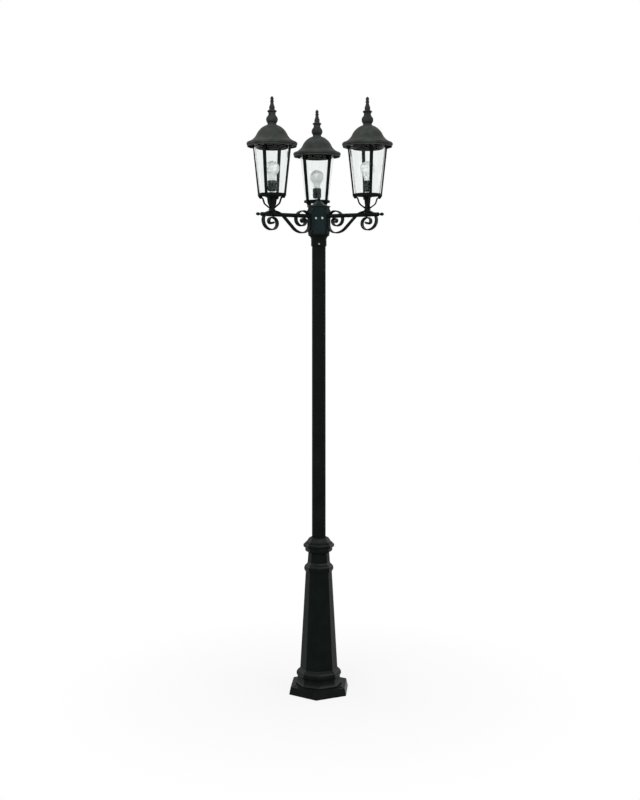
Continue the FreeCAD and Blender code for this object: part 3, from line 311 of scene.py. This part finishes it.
# %% [markdown]
# ## Powder coat
#
# The whole post is coated with baked powder: nearly black with a hint of green, satin rather than
# glossy. Powder melts into a skin with a faint orange peel, and edges come out soft. Edges are also
# painted a touch lighter, partly because the melt draws back from them and partly as a painted
# highlight. So the recipe has the waviness of the metal, the orange peel of the coat, and edges
# rounded by a bevel. A little dust lies on what looks up, and the spray reaches undersides thinly,
# which leaves them rough. The sizes of the patterns are real ones: orange peel is about 2 mm wide.
#
# A dark coat shows gloss strongly at a shallow angle, which would turn the pedestal's side faces
# grey. So the sheen is set low, and the highlights of the photograph, which lie on the sloping
# shoulders of the mouldings, come from a clear coat that is there only.

# %% Recipe for powder coat
DUST = (0.13, 0.13, 0.12, 1)
DUST_SIZE = 0.012
DUST_LIMITS = (0.35, 0.80)
DUST_SHARE = 0.10
# Edges are a touch lighter: partly a thinner coat, partly a painted highlight.
EDGE_TONE_AND_HIGHLIGHT = (0.030, 0.034, 0.032, 1)
EDGE_SHARE = 0.45
CLOUD_SIZE = 0.06
CLOUD_LIMITS = (0.32, 0.68)
WAVE_SIZE = 0.018


def powder_coat(name, dark, light, roughness, peel, peel_depth, waviness, edge, sheen=0.02, gloss=0.14):
    """Baked powder coat between two shades. Pattern sizes, depths and the edge are in metres."""
    recipe = Recipe(bpy.data.materials.new(name))
    cloud = noise(recipe, CLOUD_SIZE, detail=4.0)
    grain = noise(recipe, peel, detail=3.0)
    fine_grain = noise(recipe, peel / 3)
    coat = blend(ramp(0.6 * cloud + 0.4 * grain, *CLOUD_LIMITS), dark, light)
    # Lighter edges: partly a thinner coat, partly a painted highlight.
    coat = blend(EDGE_SHARE * edges(recipe, 2 * edge), coat, EDGE_TONE_AND_HIGHLIGHT)
    dust = tops(recipe) * ramp(noise(recipe, DUST_SIZE, detail=5.0), *DUST_LIMITS)
    gleam = gloss * shoulders(recipe) if gloss else 0.0
    skin = bump(noise(recipe, WAVE_SIZE), waviness, rounded(recipe, edge))
    return surface(recipe, {
        "Base Color": blend(DUST_SHARE * dust, coat, DUST),
        "Roughness": roughness + 0.16 * (cloud - 0.5) + 0.15 * dust + 0.50 * undersides(recipe),
        "Specular IOR Level": sheen,
        "Coat Weight": gleam,
        "Coat Roughness": 0.20,
        "Normal": bump(0.7 * grain + 0.3 * fine_grain, peel_depth, skin),
    })


print("powder coat: dust shade", DUST[0], "edge shade", EDGE_TONE_AND_HIGHLIGHT[0])

# %% [markdown]
# ## Which metal lies under the coat
#
# Pedestal, foot plate, collar and neck show the soft, uneven skin of sand casting. The pole is drawn
# tube and the scrolls are bent flat bar, so their coat is smoother and their edges are crisper. The
# hub catches more of the sky, so its coat is painted a shade lighter and bluer: painted light. The
# lanterns' stems are painted a little lighter too, also painted light. The disc under each roof is
# sheet with a dull heat-resistant paint: no gloss at all. One recipe with other numbers makes them
# all, because on the real post the coats are one powder, and the paint differs from it mainly in
# gloss.

# %% Coat the castings, the tube and the bars
COAT_DARK = (0.0046, 0.0064, 0.0058, 1)
COAT_LIGHT = (0.0090, 0.0122, 0.0110, 1)
# Painted light: a lighter, bluer copy of the coat for the sky that the hub catches.
HUB_LIT_DARK = (0.0095, 0.0165, 0.0170, 1)
HUB_LIT_LIGHT = (0.0155, 0.0255, 0.0265, 1)
# Painted light: a lighter copy of the coat for the lanterns' stems.
STEM_LIT_DARK = (0.0080, 0.0098, 0.0094, 1)
STEM_LIT_LIGHT = (0.0140, 0.0165, 0.0158, 1)

cast_coat = powder_coat("cast_coat", COAT_DARK, COAT_LIGHT, roughness=0.30, peel=0.0022,
                        peel_depth=0.00008, waviness=0.0004, edge=0.0016)
tube_coat = powder_coat("tube_coat", COAT_DARK, COAT_LIGHT, roughness=0.28, peel=0.0016,
                        peel_depth=0.00004, waviness=0.0001, edge=0.0004)
hub_lit_coat = powder_coat("hub_lit_coat", HUB_LIT_DARK, HUB_LIT_LIGHT, roughness=0.32, peel=0.0018,
                       peel_depth=0.00007, waviness=0.0003, edge=0.0012)
bar_coat = powder_coat("bar_coat", COAT_DARK, COAT_LIGHT, roughness=0.40, peel=0.0016,
                       peel_depth=0.00005, waviness=0.00012, edge=0.0006)
stem_lit_coat = powder_coat("stem_lit_coat", STEM_LIT_DARK, STEM_LIT_LIGHT, roughness=0.38, peel=0.0016,
                        peel_depth=0.00006, waviness=0.0002, edge=0.0008)
heat_paint = powder_coat("heat_paint", COAT_DARK, COAT_LIGHT, roughness=0.90, peel=0.0014,
                         peel_depth=0.00008, waviness=0.0002, edge=0.0004, sheen=0.0, gloss=0.0)

paint(cast_coat, ["foot_plate", "pedestal", "base_collar", "neck_socket"])
paint(tube_coat, ["pole"])
paint(hub_lit_coat, ["hub_body", "hub_cap", "cap_knob"] + each("arm_plate"))
paint(bar_coat, each("arm_rod", "arm_scroll", "arm_tip", "lantern_frame") + ["lantern_saddles"])
paint(stem_lit_coat, each("stem"))
paint(heat_paint, each("heat_shield"))

# %% [markdown]
# ## The roofs
#
# The roofs are clearly lighter than the rest: a grey-green, fine-textured coat that scatters the sky
# like slate. The finials on top have the same coat, with painted shade that makes them a shade
# darker. A textured powder shrinks into tiny wrinkles while it bakes. Here wrinkles under 3 mm wide,
# with specks of half that size on them, do that as two bumps, and the colour follows the wrinkles.
# Edges get a painted highlight, and undersides are painted near black as painted shade.

# %% Textured coat for roofs and finials
ROOF_DARK = (0.0215, 0.0235, 0.0195, 1)
ROOF_LIGHT = (0.0540, 0.0640, 0.0600, 1)
# Painted shade: the finials' copy of the roof coat is darker.
FINIAL_SHADED_DARK = (0.0150, 0.0170, 0.0155, 1)
FINIAL_SHADED_LIGHT = (0.0370, 0.0420, 0.0395, 1)
# Painted highlight: the edges of roofs and finials are painted lighter.
ROOF_EDGE_HIGHLIGHT = (0.085, 0.090, 0.083, 1)
ROOF_EDGE_HIGHLIGHT_SHARE = 0.40
ROOF_EDGE_RADIUS = 0.0010
# Painted shade: the undersides of roofs and finials are painted near black.
ROOF_UNDERSIDE_SHADE = (0.0060, 0.0072, 0.0068, 1)
MOTTLE_SIZE = 0.035
MOTTLE_LIMITS = (0.36, 0.64)
WRINKLE_SIZE = 0.0026
WRINKLE_DEPTH = 0.0005
SPECKS_PER_METRE = 620.0
SPECK_DEPTH = 0.0002
ROOF_DUST_SIZE = 0.02
ROOF_DUST_LIMITS = (0.30, 0.85)
ROOF_DUST_SHARE = 0.15


def textured_coat(name, dark, light):
    """Wrinkled powder coat between two shades, with painted shade, near black, on undersides."""
    recipe = Recipe(bpy.data.materials.new(name))
    cloud = noise(recipe, MOTTLE_SIZE, detail=5.0)
    wrinkle = noise(recipe, WRINKLE_SIZE, detail=4.0)
    inputs = {"Vector": position(recipe), "Scale": SPECKS_PER_METRE}
    speck = recipe.node("ShaderNodeTexVoronoi", inputs=inputs, output="Distance")
    coat = blend(ramp(0.65 * cloud + 0.35 * wrinkle, *MOTTLE_LIMITS), dark, light)
    # Painted highlight along the edges.
    coat = blend(ROOF_EDGE_HIGHLIGHT_SHARE * edges(recipe, 2 * ROOF_EDGE_RADIUS), coat, ROOF_EDGE_HIGHLIGHT)
    dust = tops(recipe) * ramp(noise(recipe, ROOF_DUST_SIZE, detail=6.0), *ROOF_DUST_LIMITS)
    coat = blend(ROOF_DUST_SHARE * dust, coat, DUST)
    skin = bump(wrinkle, WRINKLE_DEPTH, rounded(recipe, ROOF_EDGE_RADIUS))
    return surface(recipe, {
        # Painted shade: undersides painted near black.
        "Base Color": blend(undersides(recipe), coat, ROOF_UNDERSIDE_SHADE),
        "Roughness": 0.62 + 0.2 * (wrinkle - 0.5) + 0.30 * undersides(recipe),
        "Specular IOR Level": 0.12,
        "Normal": bump(speck, SPECK_DEPTH, skin),
    })


paint(textured_coat("roof_coat", ROOF_DARK, ROOF_LIGHT), each("roof"))
paint(textured_coat("finial_shaded_coat", FINIAL_SHADED_DARK, FINIAL_SHADED_LIGHT), each("finial"))

# %% [markdown]
# ## Bare metal
#
# Screws and the nuts under the lampholders are the only bare metal in view. They are turned and
# handled, which leaves them unevenly dull, and steel reflects rather than scatters, so the surface
# is metallic and the life is in its roughness. The hub's screws are bright stainless, those of the
# neck are duller steel, and those of the roofs are blackened. Out of sight are the bulbs' nickel
# caps, down in their holders, and a zinc-plated shelf inside the hub.

# %% Stainless, blackened, dulled, zinc and nickel
WORN_PATCH = 0.004
METAL_GRAIN = 0.0006
METAL_DEPTH = 0.00003
METAL_EDGE = 0.0004
METAL_LIMITS = (0.3, 0.7)


def bare_metal(name, dark, light, roughness):
    """Metal between two shades, with worn patches and a fine grain."""
    recipe = Recipe(bpy.data.materials.new(name))
    cloud = noise(recipe, WORN_PATCH, detail=4.0)
    grain = noise(recipe, METAL_GRAIN)
    return surface(recipe, {
        "Base Color": blend(ramp(0.5 * cloud + 0.5 * grain, *METAL_LIMITS), dark, light),
        "Metallic": 1.0,
        "Roughness": roughness + 0.25 * (cloud - 0.5),
        "Normal": bump(grain, METAL_DEPTH, rounded(recipe, METAL_EDGE)),
    })


stainless = bare_metal("stainless", (0.44, 0.45, 0.46, 1), (0.64, 0.65, 0.66, 1), roughness=0.32)
blackened = bare_metal("blackened_steel", (0.055, 0.058, 0.060, 1), (0.120, 0.125, 0.130, 1),
                       roughness=0.42)
dulled = bare_metal("dulled_steel", (0.22, 0.225, 0.23, 1), (0.36, 0.37, 0.38, 1), roughness=0.40)
zinc = bare_metal("zinc_plate", (0.42, 0.44, 0.45, 1), (0.62, 0.64, 0.65, 1), roughness=0.42)
nickel = bare_metal("nickel_plate", (0.60, 0.59, 0.55, 1), (0.78, 0.77, 0.73, 1), roughness=0.28)
paint(stainless, ["plate_screws", "grub_screws", "arm_locknuts", "lantern_nipples"])
paint(blackened, each("roof_screws"))
paint(zinc, ["wiring_shelf"])
paint(nickel, each("bulb_cap"))

# %% [markdown]
# ## Turning small parts in mesh code
#
# Screw heads, nuts and lampholders are turned or moulded round an axis, so they can be built like on
# a lathe: a list of rings, each with a radius, a height and a form that says how the radius changes
# round the axis. A circle gives a turned part, and a hexagon gives a nut or a key hole. Neighbouring
# rings are joined with quads. This keeps small parts crisp with few faces.

# %% A lathe for rings of any form
# The angle that one side of a hexagon takes up, seen from its middle.
HEXAGON_SIDE = math.radians(60)


def circle(angle):
    """Radius of a circle at an angle, as a share of its radius: the same all round."""
    return 1.0


def hexagon(angle):
    """Radius of a hexagon at an angle, as a share of its corner radius."""
    return math.cos(HEXAGON_SIDE / 2) / math.cos(angle % HEXAGON_SIDE - HEXAGON_SIDE / 2)


def ring(mesh, radius, height, form, steps):
    """Points of one ring round Z."""
    points = []
    for step in range(steps):
        angle = 2 * math.pi * step / steps
        reach = radius * form(angle)
        points.append(mesh.verts.new((reach * math.cos(angle), reach * math.sin(angle), height)))
    return points


def lathe(rings, steps, looped=False):
    """Mesh whose rings are (radius, height, form), joined in order, and last to first if looped."""
    mesh = bmesh.new()
    loops = [ring(mesh, radius, height, form, steps) for radius, height, form in rings]
    pairs = list(zip(loops, loops[1:]))
    if looped:
        pairs.append((loops[-1], loops[0]))
    else:
        mesh.faces.new(list(reversed(loops[0])))
        mesh.faces.new(loops[-1])
    for low, high in pairs:
        for step in range(steps):
            beside = (step + 1) % steps
            mesh.faces.new((low[step], low[beside], high[beside], high[step]))
    return mesh


print("lathe ready, a hexagon's flats lie at", round(hexagon(HEXAGON_SIDE / 2), 3), "of its corners")

# %% [markdown]
# ## One piece from many copies
#
# Identical screws are one piece of the CAD model, so their detailed heads are one piece here too:
# the turned mesh is copied to each place and the copies are gathered in one object. Shading is
# smooth over round forms and breaks where faces meet at a sharp angle, as on turned steel. The piece
# then rides on the body that carries it.

# %% Placing turned parts
SHARP_ANGLE = math.radians(28)


def gather(mesh, places):
    """Mesh data with a copy of the mesh at each place."""
    whole = bmesh.new()
    for place in places:
        single = mesh.copy()
        single.transform(place)
        data = bpy.data.meshes.new("copy")
        single.to_mesh(data)
        single.free()
        whole.from_mesh(data)
        bpy.data.meshes.remove(data)
    bmesh.ops.recalc_face_normals(whole, faces=whole.faces)
    data = bpy.data.meshes.new("gathered")
    whole.to_mesh(data)
    whole.free()
    return data


def turned_piece(name, mesh, places, material, body):
    """One object with a copy of the mesh at each place, riding on a body."""
    data = gather(mesh, places)
    data.name = name
    data.shade_smooth()
    data.set_sharp_from_angle(angle=SHARP_ANGLE)
    data.materials.append(material)
    piece = bpy.data.objects.new(name, data)
    bpy.context.scene.collection.objects.link(piece)
    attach(piece, body)
    print(name, len(data.polygons), "faces")
    return piece


print("edges over", round(math.degrees(SHARP_ANGLE)), "degrees stay sharp")

# %% [markdown]
# ## Screws of the hub and the neck
#
# Two bright screws sit on each of the hub's three blank faces, and one small screw on each of the
# same sides clamps the neck on the pole. They are button heads with a hexagon key hole, which the CAD
# model only has as plain studs. One pattern of rings serves both: shank, flat underside, dome, and
# the key hole that goes down inside.

# %% A button head with a key hole
SCREW_STEPS = 48
SHANK_RADIUS = 0.003
HEAD_HEIGHT = 0.0035
KEY_SHARE = 0.42

# Rings as shares of the head's radius, or of the key hole's, and of the head's height.
DOME = [(1.00, 0.18), (0.92, 0.52), (0.76, 0.82), (0.56, 1.00)]
KEY_HOLE = [(1.10, 1.00), (1.00, 0.94), (1.00, 0.40)]
KEY_FLOOR = (0.30, 0.30)


def button_screw(head_radius, shank_length):
    """Screw along Z whose head starts at height 0."""
    key_radius = KEY_SHARE * head_radius
    floor_share, floor_rise = KEY_FLOOR
    rings = [(SHANK_RADIUS, -shank_length, circle), (SHANK_RADIUS, 0, circle), (head_radius, 0, circle)]
    rings += [(share * head_radius, rise * HEAD_HEIGHT, circle) for share, rise in DOME]
    rings += [(share * key_radius, rise * HEAD_HEIGHT, hexagon) for share, rise in KEY_HOLE]
    rings.append((floor_share * key_radius, floor_rise * HEAD_HEIGHT, circle))
    return lathe(rings, SCREW_STEPS)


print("a key hole takes up", KEY_SHARE, "of the head's radius")

# %% [markdown]
# ## Where the screws sit
#
# The three blank faces of the hub look between the arms, one of them towards the camera. A screw is
# turned with its axis upright, tipped over until it looks outwards, moved to the wall, and then
# swung round the post to its face. Each set replaces the plain studs of the CAD model.

# %% Screws on the hub and the neck
# Places and sizes are those of the CAD model, in metres.
BLANK_DIRECTIONS = (270, 30, 150)
HUB_FACE = 0.03853
HUB_SCREW_LEVEL = 1.941
HUB_SCREW_SPACING = 0.026
HUB_HEAD_RADIUS = 0.00525
HUB_SHANK_LENGTH = 0.008
NECK_FACE = 0.032
NECK_SCREW_LEVEL = 1.836
NECK_HEAD_RADIUS = 0.0045
NECK_SHANK_LENGTH = 0.0035


def on_wall(degrees, reach, offset, level):
    """Placement that turns Z outwards, in a direction round the post."""
    swing = Matrix.Rotation(math.radians(degrees), 4, "Z")
    tip = Matrix.Rotation(RIGHT_ANGLE, 4, "Y")
    return swing @ Matrix.Translation((reach, offset, level)) @ tip


hub_places = [on_wall(degrees, HUB_FACE, side * HUB_SCREW_SPACING / 2, HUB_SCREW_LEVEL)
              for degrees in BLANK_DIRECTIONS for side in (-1, 1)]
hub_screw = button_screw(HUB_HEAD_RADIUS, HUB_SHANK_LENGTH)
hub_heads = turned_piece("hub_button_screws", hub_screw, hub_places, stainless, "head")
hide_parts("hub_screws")

neck_places = [on_wall(degrees, NECK_FACE, 0, NECK_SCREW_LEVEL) for degrees in BLANK_DIRECTIONS]
neck_screw = button_screw(NECK_HEAD_RADIUS, NECK_SHANK_LENGTH)
neck_heads = turned_piece("neck_button_screws", neck_screw, neck_places, dulled, "head")
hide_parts("socket_screws")

# %% [markdown]
# ## Moulded plastic
#
# Each bulb sits in a moulded holder, a dark grey-green a little lighter and duller than the coat.
# Moulded plastic has a fine spark-eroded grain from its mould and faint flow marks, which run along
# the holder's axis. So the flow clouds are stretched upright, and the grain is a shallow bump. The
# white terminal block inside the hub is moulded in the same way.

# %% Plastic for holders and the terminal block
MOULD_GRAIN = 0.0009
MOULD_DEPTH = 0.00006
FLOW_SIZE = 0.012
FLOW_STRETCH = (1, 1, 0.2)
MOULD_EDGE = 0.0006


def moulded(name, dark, light, sheen):
    """Moulded plastic between two shades, with grain and upright flow marks."""
    recipe = Recipe(bpy.data.materials.new(name))
    grain = noise(recipe, MOULD_GRAIN)
    flow = noise(recipe, FLOW_SIZE, detail=3.0, stretch=FLOW_STRETCH)
    return surface(recipe, {
        "Base Color": blend(0.6 * flow + 0.4 * grain, dark, light),
        "Roughness": 0.5 + 0.2 * (grain - 0.5),
        "Specular IOR Level": sheen,
        "Normal": bump(grain, MOULD_DEPTH, rounded(recipe, MOULD_EDGE)),
    })


holder_plastic = moulded("holder_plastic", (0.015, 0.023, 0.020, 1), (0.026, 0.036, 0.033, 1), sheen=0.10)
block_plastic = moulded("terminal_plastic", (0.70, 0.70, 0.66, 1), (0.80, 0.80, 0.76, 1), sheen=0.35)
paint(block_plastic, ["terminal_block"])

# %% [markdown]
# ## The lampholder
#
# A lampholder is made of two shells screwed together: ribs for the fingers below, a parting groove,
# and a smooth collar with a rounded lip above. It is open at the top, where the bulb goes in, and
# has a hole in its foot for the hollow spigot that carries it. The CAD model has it as a plain body
# of the same size and bore. The lathe adds the rest, with a third form of ring, a wave, for the ribs.
# Because the rings go up outside and down inside, the last is joined to the first.

# %% Ribbed holder
HOLDER_STEPS = 144
HOLDER_HEIGHT = 0.043
HOLDER_RADIUS = 0.018
HOLDER_BORE = 0.0136
HOLDER_WELL = 0.018
MOUTH_CHAMFER = 0.0012
SPIGOT_RADIUS = 0.006
RIB_COUNT = 36
RIB_DEPTH = 0.02

# Rings as shares of the holder's radius, each with its height above the foot in metres. The depth
# of the ribs is a share of that radius too.
FOOT = [(0.68, 0), (0.86, 0.0016), (0.95, 0.0042), (0.98, 0.0075)]
RIBS = [(1.00, 0.0082), (1.00, 0.0215)]
GROOVE = [(0.98, 0.0222), (0.94, 0.0228), (0.94, 0.0240), (1.00, 0.0246)]
LIP = [(1.00, HOLDER_HEIGHT - 0.0030), (0.97, HOLDER_HEIGHT - 0.0010), (0.91, HOLDER_HEIGHT),
       (0.82, HOLDER_HEIGHT)]


def grip_ribs(angle):
    """Radius of a ribbed grip at an angle, as a share of the radius at the ribs' tops."""
    return 1 - RIB_DEPTH / 2 * (1 - math.cos(RIB_COUNT * angle))


def holder_mesh():
    """Holder along Z from its foot at height 0."""
    outside = [(FOOT, circle), (RIBS, grip_ribs), (GROOVE, circle), (LIP, circle)]
    rings = [(SPIGOT_RADIUS, 0, circle)]
    rings += [(share * HOLDER_RADIUS, height, form) for part, form in outside for share, height in part]
    rings.append((HOLDER_BORE, HOLDER_HEIGHT - MOUTH_CHAMFER, circle))
    rings.append((HOLDER_BORE, HOLDER_WELL, circle))
    rings.append((SPIGOT_RADIUS, HOLDER_WELL, circle))
    return lathe(rings, HOLDER_STEPS, looped=True)


print(RIB_COUNT, "ribs", round(RIB_DEPTH * HOLDER_RADIUS * 1000, 2), "mm deep")

# %% [markdown]
# ## The lock nut, and a holder for each lantern
#
# The holder is screwed on its spigot and locked by a thin bright nut, the small light spot at the
# foot of each holder. It is the same lathe work with a hexagon. Softened corners catch a small
# highlight, which a bare hexagon wouldn't. Both parts ride on their lantern, so they turn with it.

# %% Lock nut and the three holders
# Places are those of the CAD model, in metres. The nut's faces are turned down to its flats.
ARM_REACH = 0.222
HOLDER_LOW = 2.0433
NUT_STEPS = 96
NUT_CORNER = 0.0095
NUT_HEIGHT = 0.006
NUT_FACE = 0.86 * NUT_CORNER
CORNER_SOFTENING = 0.0008
BORE_CHAMFER = 0.0006


def nut_mesh():
    """Thin hexagon nut along Z from height 0, with softened corners and a bore for the spigot."""
    return lathe([
        (SPIGOT_RADIUS, BORE_CHAMFER, circle),
        (NUT_FACE, 0, circle),
        (NUT_CORNER, CORNER_SOFTENING, hexagon),
        (NUT_CORNER, NUT_HEIGHT - CORNER_SOFTENING, hexagon),
        (NUT_FACE, NUT_HEIGHT, circle),
        (SPIGOT_RADIUS, NUT_HEIGHT - BORE_CHAMFER, circle),
    ], NUT_STEPS, looped=True)


for lantern, degrees in ARM_DIRECTIONS.items():
    swing = math.radians(degrees)
    foot = Vector((ARM_REACH * math.cos(swing), ARM_REACH * math.sin(swing), HOLDER_LOW))
    on_spigot = Matrix.Translation(foot)
    below_holder = Matrix.Translation(foot - Vector((0, 0, NUT_HEIGHT)))
    body = "lantern_" + lantern
    holder = turned_piece("ribbed_holder_" + lantern, holder_mesh(), [on_spigot],
                          holder_plastic, body)
    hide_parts("lampholder_" + lantern)
    turned_piece("holder_nut_" + lantern, nut_mesh(), [below_holder], stainless, body)

# %% [markdown]
# ## Lantern glass
#
# The lantern glass is clear glass drawn into a cone. In front of a white wall only its edges, a
# slight grey-green tint and faint upright streaks tell that it is there. Its index of refraction is
# set well below that of window glass: a thin wall hardly bends anything, and weak reflections stand
# for the dark room behind a photographer, where this scene is white all round. Glass looks darker
# where one looks along it, which the Layer Weight node finds.

# %% Clear glass with streaks
STREAK_SIZE = 0.010
STREAK_STRETCH = (1, 1, 0.05)
STREAK_LIMITS = (0.35, 0.75)
SLANT_LIMITS = (0.45, 0.95)
GLASS_INDEX = 1.20
GLASS_CLEAR = (0.962, 0.980, 0.975, 1)
GLASS_STREAK = (0.900, 0.922, 0.917, 1)
GLASS_ALONG = (0.55, 0.58, 0.57, 1)


def clear_glass(name):
    """Thin clear glass: a faint tint when looked through, grey along its edges."""
    recipe = Recipe(bpy.data.materials.new(name))
    streak = ramp(noise(recipe, STREAK_SIZE, stretch=STREAK_STRETCH), *STREAK_LIMITS)
    slant = recipe.node("ShaderNodeLayerWeight", inputs={"Blend": 0.30}, output="Facing")
    tint = blend(streak, GLASS_STREAK, GLASS_CLEAR)
    return surface(recipe, {
        "Base Color": blend(ramp(slant, *SLANT_LIMITS), tint, GLASS_ALONG),
        "Roughness": 0.004 + 0.006 * streak,
        "IOR": GLASS_INDEX,
        "Transmission Weight": 1.0,
    })


paint(clear_glass("lantern_glass"), each("glass"))

# %% [markdown]
# ## Opal bulbs
#
# The bulbs are opal glass: white all through, with a satin skin. Light goes a little way into it
# before it comes out again, so some of it is subsurface. Opal glass also passes on light from the
# wall behind it, and a faint glow of its own stands for that.

# %% Opal glass
OPAL_CLOUD = 0.02
OPAL_SHADE = (0.78, 0.815, 0.80, 1)
OPAL_WHITE = (0.84, 0.87, 0.86, 1)
GLOW_SHADE = (0.95, 1.0, 0.98, 1)
GLOW_WHITE = (1.0, 1.0, 1.0, 1)
OPAL_DEPTH = 0.010
SATIN_GRAIN = 0.0012
SATIN_DEPTH = 0.00002


def opal_glass(name):
    """White glass with a satin skin."""
    recipe = Recipe(bpy.data.materials.new(name))
    cloud = noise(recipe, OPAL_CLOUD, detail=3.0)
    return surface(recipe, {
        "Base Color": blend(cloud, OPAL_SHADE, OPAL_WHITE),
        "Roughness": 0.32 + 0.1 * (cloud - 0.5),
        "Subsurface Weight": 0.25,
        "Subsurface Radius": (OPAL_DEPTH, OPAL_DEPTH, OPAL_DEPTH),
        "Emission Color": blend(cloud, GLOW_SHADE, GLOW_WHITE),
        "Emission Strength": 0.04,
        "Normal": bump(noise(recipe, SATIN_GRAIN), SATIN_DEPTH, direction(recipe)),
    })


paint(opal_glass("opal_bulb"), each("bulb_globe"))

# %% [markdown]
# ## Floor and surroundings
#
# The photograph stands the post in front of pure white. Lighting a wall until it is white would
# also flood the object with light. Instead, what the camera sees of the surroundings is white by
# its own glow, and the lamps stay at a plain level. Near the foot plate the floor glows only in part,
# so that the soft shadow there stays visible. The glow grows with the distance from the post, until
# floor and surroundings meet without a line.

# %% White floor that keeps the shadow
FLOOR_SIZE = 60.0
FLOOR_SPECKLE = 0.4
FLOOR_SHADE = (0.80, 0.80, 0.80, 1)
FLOOR_WHITE = (0.83, 0.83, 0.83, 1)
PURE_WHITE = (1, 1, 1, 1)
GLOW_NEAR = 0.86
GLOW_REACH = 1.1
GLOW_START = 0.15


def seen_directly(recipe):
    """1 for the camera, and for what mirrors and glass show, 0 for the light that falls on things."""
    seen = recipe.node("ShaderNodeLightPath", output="Is Camera Ray")
    for ray in ("Is Glossy Ray", "Is Transmission Ray"):
        other = recipe.node("ShaderNodeLightPath", output=ray)
        seen = recipe.node("ShaderNodeMath", {"operation": "MAXIMUM"}, {0: seen, 1: other})
    return seen


def floor_material():
    """Matt white near the post, where the shadow lies, and glowing white farther out."""
    recipe = Recipe(bpy.data.materials.new("studio_floor"))
    speckle = blend(noise(recipe, FLOOR_SPECKLE), FLOOR_SHADE, FLOOR_WHITE)
    inputs = {"Base Color": speckle, "Roughness": 1.0, "Specular IOR Level": 0.0}
    matt = recipe.node("ShaderNodeBsdfPrincipled", inputs=inputs)
    glow = recipe.node("ShaderNodeEmission", inputs={"Color": PURE_WHITE, "Strength": 1.0})
    inputs = {0: position(recipe)}
    away = recipe.node("ShaderNodeVectorMath", {"operation": "LENGTH"}, inputs, output="Value")
    share = ramp(1 / GLOW_REACH * away, GLOW_START, 1.0, dark=GLOW_NEAR)
    inputs = {0: seen_directly(recipe) * share, 1: matt, 2: glow}
    mixed = recipe.node("ShaderNodeMixShader", inputs=inputs)
    recipe.node("ShaderNodeOutputMaterial", inputs={"Surface": mixed})
    return recipe.owner


half = FLOOR_SIZE / 2
corners = [(-half, -half, 0), (half, -half, 0), (half, half, 0), (-half, half, 0)]
floor_mesh = bpy.data.meshes.new("floor")
floor_mesh.from_pydata(corners, [], [(0, 1, 2, 3)])
floor_mesh.materials.append(floor_material())
floor = bpy.data.objects.new("floor", floor_mesh)
bpy.context.scene.collection.objects.link(floor)
print("floor", FLOOR_SIZE, "m, white beyond", GLOW_REACH, "m")

# %% [markdown]
# ## Light from all round
#
# A real studio has pale walls, which send a soft light from every side. The world stands for them.
# It is white where it is looked at, like the floor, but lights the object with a third of that, so
# that most of the light is left for the lamps and the forms keep their shade.

# %% The world
AMBIENT = 0.32

world = bpy.data.worlds.new("surroundings")
bpy.context.scene.world = world
sky = Recipe(world)
lighting = sky.node("ShaderNodeBackground", inputs={"Color": PURE_WHITE, "Strength": AMBIENT})
backdrop = sky.node("ShaderNodeBackground", inputs={"Color": PURE_WHITE, "Strength": 1.0})
mixed = sky.node("ShaderNodeMixShader", inputs={0: seen_directly(sky), 1: lighting, 2: backdrop})
sky.node("ShaderNodeOutputWorld", inputs={"Surface": mixed})
print("light from all round", AMBIENT, "of full white")

# %% [markdown]
# ## Lamps
#
# A large softbox above and to the left does most of the work, a weaker one on the right fills the
# shadows, and two tall ones behind the post draw pale lines along its eight-sided shaft. Their
# powers are worked out from the distance: share is how much of full white a card at the aim would
# get.

# %% Softboxes
# What the lamps aim at, in metres.
HEAD = (0, 0, 1.9)
SHAFT = (0, 0, 1.2)


def softbox(name, place, aim, width, height, share):
    """Area lamp that gives this share of full white to a card at its aim."""
    lamp = bpy.data.lights.new(name, "AREA")
    lamp.shape = "RECTANGLE"
    lamp.size = width
    lamp.size_y = height
    throw = Vector(aim) - Vector(place)
    lamp.energy = share * (math.pi * throw.length) ** 2
    box = bpy.data.objects.new(name, lamp)
    box.location = place
    box.rotation_euler = throw.to_track_quat("-Z", "Y").to_euler()
    bpy.context.scene.collection.objects.link(box)
    print(name, round(lamp.energy), "W")


softbox("key", (-1.7, -3.3, 4.2), HEAD, width=2.4, height=2.4, share=0.62)
softbox("fill", (3.0, -2.2, 3.0), HEAD, width=2.0, height=2.0, share=0.24)
softbox("left_edge", (-2.6, 2.2, 1.8), SHAFT, width=1.0, height=2.6, share=0.05)
softbox("right_edge", (2.6, 2.2, 1.8), SHAFT, width=1.0, height=2.6, share=0.05)

# %% [markdown]
# ## Last words
#
# The Standard view keeps colours as they are written.

# %% View
bpy.context.scene.view_settings.view_transform = "Standard"
